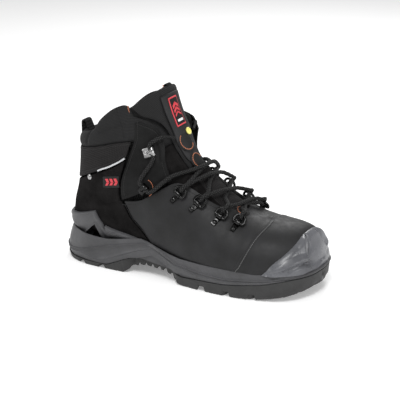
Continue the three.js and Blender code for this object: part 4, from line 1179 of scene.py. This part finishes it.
def make_hooks():
    rise = BRACKET + HOOK_CHANNEL
    bend = np.radians(np.linspace(-90, 90, 12))
    outer_bend, inner_bend = [
        np.stack([HOOK_NECK - 1 + np.cos(bend) * reach, rise / 2 + up + np.sin(bend) * (rise / 2 + more)], 1)
        for reach, up, more in ((2.4, 0.35, 0.95), (1.1, 0.65, -0.65))]
    tip = [[-0.6, rise + 1.35], [-1.7, rise + 0.9], [-2, rise + 0.1], [-1.5, rise - 0.3], [-0.6, rise]]
    profile = np.vstack([[[-8, 0.1], [-6, 0]], outer_bend, tip, inner_bend[::-1],
                         [[-6, BRACKET], [-8, BRACKET - 0.2]]])
    arm = np.clip((profile[:, 1] - BRACKET) / HOOK_CHANNEL, 0, 1)
    half = np.interp(profile[:, 0], [-8, -5.2, -4.2, -0.4, 1.2], [2.9, 3.4, 1.2, 1.2, 3])
    thin = np.sign(profile[:, 1] - profile[:, 1].mean())
    shares = [(-share, shrink) for share, shrink in HOOK_EDGE[::-1]] + [(-0.2, 0), (0.2, 0), *HOOK_EDGE]
    for label, spot, look, wide in HOOKS:
        for name, side in SIDES.items():
            place = frame_on(spot[0], side * spot[1], HOOK_LIFT + float(flare(spot[0], side * spot[1])))
            sections = []
            for share, shrink in shares:
                up = profile[:, 1] - thin * shrink * 0.4 - 1.5 * arm * share**2
                points = zip(half * share * wide, profile[:, 0], up)
                sections.append([placed(place, w, y, z) for w, y, z in points])
            piece = loft(f"{label}_strip_{name}", sections, look, "boot", sharp=40)
            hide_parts(f"{label}_{name}")
            turned(f"{label}_rivet_{name}", placed(place, 0, -5.4, BRACKET - 0.1), place[1],
                   [(0.01, 0), (2.1, 0), (2.1, 0.3), (1.6, 0.8), (0.8, 1.05), (0.01, 1.1)], look, "boot")


# ---- lace ----
def through_ring(side, i):
    t, v = RING_SPOTS[i]
    spot = frame_on(t, side * v, RING_LIFT)
    y = RING_DEPTH * math.cos(math.radians(RING_TILT))
    z = RING_DEPTH * math.sin(math.radians(RING_TILT))
    loop = [(y + 5, z - 2.7), (y, z - TURN), (y - TURN, z), (y, z + TURN), (y + 4.6, z + 1.9)]
    return [placed(spot, 0, across, up) for across, up in loop]


def through_hook(spot, side):
    open_by = float(flare(spot[0], side * spot[1]))
    place = frame_on(spot[0], side * spot[1], HOOK_LIFT + open_by + BRACKET + HOOK_CHANNEL / 2)
    return [placed(place, side * shift, HOOK_NECK - LACE / 2 - 0.4, 0) for shift in (-7, 0, 7)]


def lace_half(side):
    points = through_ring(side, 0)
    for i in range(1, 5):
        start_side = -side if (i - 1) % 2 else side
        next_side = -side if i % 2 else side
        rise = OVER_TONGUE + (LACE + 0.6 if start_side > 0 else 0)
        start = RING_SPOTS[i - 1][0]
        end = RING_SPOTS[i][0] if i < 4 else 9.85
        over_edge = 1.6 if i == 1 else 0
        points += [lifted(start + (end - start) * 0.35, start_side * 0.08, rise + 1.4 + over_edge),
                   lifted((start + end) / 2, 0.0, rise + over_edge),
                   lifted(start + (end - start) * 0.65, -start_side * 0.08, rise + 0.8)]
        if i < 4:
            points += through_ring(next_side, i)
    points += [lifted(10.0, side * 0.17, 2.6), lifted(10.4, side * 0.27, 5.4)]
    points += through_hook(LOCK_SPOT, side) + through_hook(TOP_SPOT, side)
    points.append(lifted(12.75, side * 0.2, 7.5 + 0.5 * flare(12.75, side * 0.2)))
    return points + [lifted(12.2, side * 0.135, 6.2)]


def centripetal(points, parts):
    """A centripetal Catmull-Rom curve, of the kind that the CAD lace follows."""
    points = np.asarray(points, float)
    ends = [2 * points[0] - points[1], 2 * points[-1] - points[-2]]
    rows = np.vstack([ends[0], points, ends[1]])
    result = []
    for place in np.linspace(0, len(points) - 1, parts + 1):
        k = min(int(place), len(points) - 2)
        w = place - k
        p = rows[k:k + 4]
        gaps = np.maximum(np.linalg.norm(np.diff(p, axis=0), axis=1) ** 0.5, 1e-4)
        d0, d1, d2 = gaps
        m0 = ((p[1] - p[0]) / d0 - (p[2] - p[0]) / (d0 + d1) + (p[2] - p[1]) / d1) * d1
        m1 = ((p[2] - p[1]) / d1 - (p[3] - p[1]) / (d1 + d2) + (p[3] - p[2]) / d2) * d1
        result.append((2 * p[1] - 2 * p[2] + m0 + m1) * w**3 + (3 * p[2] - 3 * p[1] - 2 * m0 - m1) * w**2
                      + m0 * w + p[1])
    return np.array(result)


def weave_places(around, run):
    """Weave coordinates of a loft from the distances around it and along it."""
    return np.stack(np.meshgrid(around, run), -1).reshape(-1, 2)


def even_path(path, spacing):
    run = lengths(path, 0)
    count = int(run[-1] / spacing)
    place = np.linspace(0, run[-1], count + 1)
    return np.stack([np.interp(place, run, path[:, k]) for k in range(3)], 1), run[-1]


def carried_normals(path):
    """A normal carried along a path with as little turning as possible."""
    tangent = unit(np.gradient(path, axis=0))
    normal = unit(np.cross(tangent[0], [0.3, 1, 0.2]))
    result = []
    for direction in tangent:
        normal = unit(normal - (normal @ direction) * direction)
        result.append(normal)
    return tangent, np.array(result)


def make_lace():
    points = lace_half(-1)[::-1] + [lifted(6.6, 0.0, 3.3)] + lace_half(1)
    path, _ = even_path(centripetal(points, 2400), 0.8)
    for _ in range(5):
        path[1:-1] = (path[:-2] + 2 * path[1:-1] + path[2:]) / 4
    path, length = even_path(path, 0.8)
    tangent, normal = carried_normals(path)
    side = np.cross(tangent, normal)
    around = 14
    run = np.arange(len(path)) * length / (len(path) - 1)
    turn = np.linspace(0, 2 * np.pi, around, endpoint=False)
    strands = sum(0.07 * np.cos(3 * turn[None] + way * run[:, None] / 1.1) for way in (1, -1))
    end = np.minimum(run, length - run)[:, None]
    radius = np.where(end < 14, 1.35 + 0 * strands, LACE / 2 + 0.1 + 1.6 * strands)
    sections = path[:, None] + radius[..., None] * (np.cos(turn)[None, :, None] * normal[:, None]
                                                    + np.sin(turn)[None, :, None] * side[:, None])
    uv = weave_places(turn * LACE / 2, run)
    piece = loft("lace_braided", sections, "lace_cord", "boot", uv=uv, sharp=70)
    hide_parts("lace")
    [tuple(point) for point in path[::4] * MM]


# ---- trims, webbing and stitches ----
def strip(name, line, width, thick, body):
    """Webbing along a line of (x, z) in the middle of the boot, thinner at its edges than in its middle."""
    path = in_profile(line)
    half = np.array([1, 0.94, 0.6, 0.2])
    across = width / 2 * np.concatenate([-half, half[::-1], half, -half[::-1]])
    rise = thick / 2 * np.array([0.3, 0.85, 0.85, 1, 1, 0.85, 0.85, 0.3,
                                 -0.3, -0.85, -1, -1, -1, -1, -0.85, -0.3])
    normals = np.cross(unit(np.gradient(path, axis=0)), [0, 1, 0])
    sections = ring_sections(path, normals, np.stack([across, rise], 1))
    turn = np.concatenate([across[:8], across[8:] + width * 1.1])
    return loft(name, sections, "webbing", body, uv=weave_places(turn, lengths(path, 0)), sharp=50)


def in_profile(line):
    return np.stack([line[:, 0], np.zeros(len(line)), line[:, 1]], 1)


def make_heel_loop():
    x, top, reach = -128.9, 153.2, 2.6
    turn = np.linspace(0, 0.9 * np.pi, 24)
    outer = np.array([[x - reach + 0.7 * (1 - w) ** 3, 126.4 + (top - reach - 127.3) * w]
                      for w in np.linspace(0, 1, 24)])
    arc = np.stack([x - reach * np.cos(turn), top - reach - 0.9 + reach * np.sin(turn)], 1)
    inner = np.array([arc[-1] + [5.6 * w, -13 * w] for w in np.linspace(0, 1, 14)])
    piece = strip("heel_loop_webbing", np.vstack([outer, arc[1:], inner[1:]]), 12, 1.7, "boot")
    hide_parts("heel_pull_loop")


def make_tongue_loop():
    x, top, reach = -29, 202.8, 2.2
    turn = np.linspace(0, np.pi, 18)
    arc = np.stack([x - reach * np.cos(turn), top - reach - 0.6 + reach * np.sin(turn)], 1)
    path, _ = even_path(in_profile(np.vstack([[x - reach, 196], arc, [x + reach, 195]])), 0.5)
    piece = strip("tongue_loop_webbing", path[:, [0, 2]], 8.7, 1.15, "tongue")
    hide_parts("tongue_loop")


def stitches(name, line, spacing, size, look, body="boot", double=0.0):
    """A row of small thread stitches, each a rounded capsule lying along a dense line of (point, normal)."""
    points, normals = line
    run = lengths(points, 0)
    vertices, faces = [], []
    tangent = unit(np.gradient(points, axis=0))
    for shift in ([-double / 2, double / 2] if double else [0.0]):
        for start in np.arange(spacing / 2, run[-1] - spacing / 2, spacing):
            at = [np.array([np.interp(start, run, source[:, k]) for k in range(3)])
                  for source in (points, normals, tangent)]
            place, up, ahead = at[0], unit(at[1]), unit(at[2])
            side = np.cross(ahead, up)
            place = place + side * shift
            first = len(vertices)
            rings = [(-0.42, 0.35), (-0.36, 0.8), (-0.2, 1), (0.2, 1), (0.36, 0.8), (0.42, 0.35)]
            for along_share, fat in rings:
                for turn in np.linspace(0, 2 * np.pi, 6, endpoint=False):
                    vertices.append(place + ahead * along_share * spacing + side * math.cos(turn) * size * fat
                                    + up * (math.sin(turn) * size * fat * 0.7))
            for k in range(len(rings) - 1):
                for j in range(6):
                    a, b = first + k * 6 + j, first + k * 6 + (j + 1) % 6
                    faces.append([a, b, b + 6, a + 6])
            faces += [[first + j for j in range(6)][::-1], [first + 30 + j for j in range(6)]]
    vertices = np.array(vertices)
    return mesh_object(name, vertices, outward_faces(vertices, faces), look, body, sharp=80)


def seam_line(points, offset, parts=160):
    """(points, normals) along a line on the tube, at a height above it or at one given by (t, v)."""
    tv = spline(points, parts)
    lift = offset(tv[:, 0], tv[:, 1]) if callable(offset) else offset
    return lifted(tv[:, 0], tv[:, 1], lift), outward(tv[:, 0], tv[:, 1])


def make_stitching():
    seams = [
        ("vamp_diagonal", np.array(DIAGONAL) - [0.07, 0.004], 1.5, "both"),
        ("eyestay", np.array(EYESTAY_EDGE[1:]) - [0.02, 0.022], 1.5, "both"),
        ("overlay_rear", across_ridge(np.array(OVERLAY_SEAM) - [0.12, 0]), 2.0, "one"),
        ("overlay_rear_second", across_ridge(np.array(OVERLAY_SEAM) - [0.2, 0]), 2.0, "one"),
        ("band_foot", round_back(np.array(BAND_SEAM) + [0.13, 0]), 0.95, "one"),
        ("band_top", round_back(np.array(COLLAR_SEAM) - [0.1, 0]), 0.95, "one"),
        ("facing_front", np.array(FACING_FRONT) - [0, 0.02], 2.6, "both"),
        ("facing_rear", np.array(FACING_REAR) + [0, 0.02], 2.6, "both")]
    for name, line, offset, sides in seams:
        for side_name, side in SIDES.items():
            if sides == "one" and side > 0:
                continue
            points = line if sides == "one" else on_side(line, side)
            label = name if sides == "one" else f"{name}_{side_name}"
            # the overlay's rear row is real stitching in light grey thread, a painted highlight along the
            # seam's edge
            look = "seam_thread" if name == "overlay_rear" else "thread"
            seam = seam_line(points, lambda t, v: offset - 0.03 + flare(t, v))
            stitches(f"stitches_{label}", seam, 2.1, 0.36, look,
                     double=1.9 if name in ("band_foot", "vamp_diagonal") else 0)
    for side_name, side in SIDES.items():
        line = on_side([[16.0, -0.37], [15.7, -0.368], [15.35, -0.365]], side)
        stitches(f"stitches_collar_end_{side_name}", seam_line(line, -0.2), 1.9, 0.5, "orange_thread")
        place, axes = frame_on(LOCK_SPOT[0], side * LOCK_SPOT[1], 3.1)
        turn = np.radians(np.linspace(-20, 110, 40)) * -side
        arc = np.array([place + 9.5 * (math.sin(a) * axes[0] + math.cos(a) * axes[1]) for a in turn])
        stitches(f"stitches_lock_tab_{side_name}", (arc, np.repeat(axes[2][None], 40, 0)), 2.1, 0.45,
                 "orange_thread")
    tip = np.array([[-31.6, -5.2, 197.6 + 0.7 * k] for k in range(7)])
    stitches("stitches_tongue_tip", (tip, np.repeat([[0.3, -1.0, 0.2]], 7, 0)), 2, 0.7, "orange_thread",
             body="tongue")


KEEPERS = (  # name, t, v, radius, body, and where its arc of stitches starts and ends, in half turns
    ("high", 11.58, -0.064, 10.6, "tongue", -0.85, 0.4),
    ("low", 10.15, -0.044, 9.8, None, 0.6, 1.8),
    ("toe", 6.4, -0.075, 8, "boot", 0.75, 1.8))
KEEPER_NARROW = 0.86  # how much narrower a keeper is one way
KEEPER_SAG = 70  # mm; a keeper drops by its radius squared over this, to either side


def on_keeper(spot, radius, turns, up):
    """Points on a ring of a keeper."""
    return [placed(spot, radius * math.cos(a), radius * math.sin(a) * KEEPER_NARROW,
                   up - radius**2 / KEEPER_SAG * math.sin(a) ** 2) for a in turns]


def make_keepers():
    """Round leather tabs on the tongue, with a row of stitches each, that keep the lace in place."""
    around = np.linspace(0, 2 * np.pi, 64, endpoint=False)
    for name, t, v, radius, body, first, last in KEEPERS:
        spot = frame_on(t, v, 1.9 if body == "boot" else float(tongue_face(t)) + 2.9)
        rings = [on_keeper(spot, radius * share, around, 0.7 * math.sqrt(max(0.0, 1 - share**6)))
                 for share in np.linspace(0.001, 1, 9)]
        rings.append(on_keeper(spot, radius, around, -1))
        disc = loft(f"lace_keeper_{name}", rings, "coated_leather", body, sharp=60)
        arc = np.array(on_keeper(spot, radius - 1.6, np.linspace(first * np.pi, last * np.pi, 70), 0.75))
        normals = np.repeat(spot[1][2][None], len(arc), 0)
        row = stitches(f"lace_keeper_stitches_{name}", (arc, normals), 2.1, 0.5, "orange_thread", body=body)
        if body is None:
            for piece in (disc, row):
                tube(9.75, 0.0) * MM
                tube(10.7, 0.0) * MM
                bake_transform(piece)


PIPING = [[13.58, -0.6], [13.5, -0.575], [13.3, -0.53], [13.14, -0.475], [13.08, -0.43]]


def make_trims():
    for name, side in SIDES.items():
        line = spline(on_side(PIPING, side))
        points = lifted(line[:, 0], line[:, 1], 1.8)
        normals = outward(line[:, 0], line[:, 1])
        piece = wire(f"piping_cord_{name}", points, 1.05, "reflective", "boot", normals)
        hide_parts(f"reflective_piping_{name}")
        corners = [tv_at(x, z, side) for x, z in ((-85.4, 91.3), (-65.4, 94.6), (-86, 103.6), (-66, 106.9))]
        area = Region(corners[:2], corners[2:])
        piece = skin(f"ankle_patch_base_{name}", area, 0.4, 1.35, "coated_leather", 20, 30,
                     edge=0.6)
        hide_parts(f"ankle_patch_{name}")
        for k in range(3):
            x, z = -82.8 + 5.2 * k, 94.4 + 0.87 * k
            for half, (low, high, foot, head) in enumerate(((0, 3.6, 0, 2), (3.8, 7.4, 2, 0))):
                corners = [tv_at(x + foot, z + low, side), tv_at(x + 3.2 + foot, z + low + 0.5, side),
                           tv_at(x + head, z + high, side), tv_at(x + 3.2 + head, z + high + 0.5, side)]
                skin(f"ankle_patch_mark_{name}_{k}_{half}", Region(corners[:2], corners[2:]), 1.2, 2.0,
                     "red_trim", 8, 8, edge=0.4)
        spot = frame_on(13.62, side * 0.66, 1.2)
        piece = turned(f"rear_rivet_dome_{name}", spot[0], spot[1],
                       [(0.01, 0), (3.1, 0), (3.1, 0.35), (2.7, 0.8), (1.9, 1.15), (1, 1.3), (0.01, 1.35)],
                       "bright_metal", "boot")
        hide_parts(f"rear_rivet_{name}")
    spot = frame_on(12.15, 0.0, float(tongue_face(12.15)) + 2.2)
    piece = turned("tongue_button_snap", spot[0], spot[1],
                   [(0.01, 0), (3.8, 0), (4, 0.4), (3.9, 1.3), (3.4, 1.75), (2.6, 1.9), (2.2, 1.5),
                    (1.4, 1.4), (0.01, 1.35)],
                   "yellow_plastic", "tongue")
    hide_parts("tongue_button")


def make_inner_foam():
    t = np.linspace(1.3, 11.4, 30)
    edge = 0.81 + 0.07 * np.maximum(t - 10.6, 0)
    lateral, medial = np.stack([t, edge], 1), np.stack([t, 2 - edge], 1)
    piece = pillow("footbed_cover", Region(lateral, medial), lambda t, v, a, b: np.full(t.shape, -10.7),
                   lambda t, v, a, b: np.full(t.shape, -6.7), "foam", 30, 100, body="footbed")
    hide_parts("footbed")
    v = np.linspace(-0.75, 0.75, 60)
    edge = np.stack([4.24 - 0.5 * np.abs(v), v], 1)
    piece = skin("toe_cap_edge_foam", Region(edge, edge + [0.36, 0]), -3.4, -1.8, "foam", 10, 80)
    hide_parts("toe_cap_edge_pad")


# ---- camera, floor and light ----
def make_camera(azimuth=27.2, elevation=18.1, distance=1.5, target=(0.0076, 0.0024, 0.0793), lens=127.6):
    a, e = math.radians(azimuth), math.radians(elevation)
    back = Vector((math.sin(a) * math.cos(e), -math.cos(a) * math.cos(e), math.sin(e)))
    camera = bpy.data.objects.new("camera", bpy.data.cameras.new("camera"))
    camera.data.lens = lens
    camera.data.sensor_width = 36
    camera.location = Vector(target) + back * distance
    camera.rotation_euler = back.to_track_quat("Z", "Y").to_euler()
    bpy.context.scene.collection.objects.link(camera)
    bpy.context.scene.camera = camera


def area_light(name, place, size, power, aim=(0, 0, 0.07)):
    light = bpy.data.lights.new(name, "AREA")
    light.shape = "DISK"
    light.size = size
    light.energy = power
    lamp = bpy.data.objects.new(name, light)
    lamp.location = place
    lamp.rotation_euler = (Vector(place) - Vector(aim)).to_track_quat("Z", "Y").to_euler()
    bpy.context.scene.collection.objects.link(lamp)


def make_stage():
    bpy.ops.mesh.primitive_grid_add(x_subdivisions=60, y_subdivisions=60, size=90)
    floor = bpy.context.object
    floor.name = "floor"
    floor.data.materials.append(floor_look())
    world = bpy.context.scene.world or bpy.data.worlds.new("world")
    bpy.context.scene.world = world
    world.use_nodes = True
    background = world.node_tree.nodes["Background"]
    background.inputs["Color"].default_value = (1, 1, 1, 1)
    background.inputs["Strength"].default_value = 0.4
    area_light("key", (0.35, -0.9, 1.5), 0.7, 17)
    area_light("fill", (-1.2, -0.6, 0.6), 0.8, 4)
    area_light("front", (1.3, -0.3, 0.5), 0.5, 5)
    area_light("rim", (-0.3, 1.2, 1.0), 0.7, 8)
    bpy.context.scene.view_settings.view_transform = "Standard"


make_camera()
make_lace()
for make in (make_outsole, make_midsole, make_bumper, make_heel_clip, make_lining, make_inner_foam,
             make_gussets, make_bellows, make_tongue_base, make_quarters, make_collar_band, make_vamp,
             make_toe_overlay, make_facings, make_collar, make_tongue, make_label, make_rings, make_hooks,
             make_heel_loop, make_tongue_loop, make_trims, make_keepers, make_stitching):
    make()
make_stage()
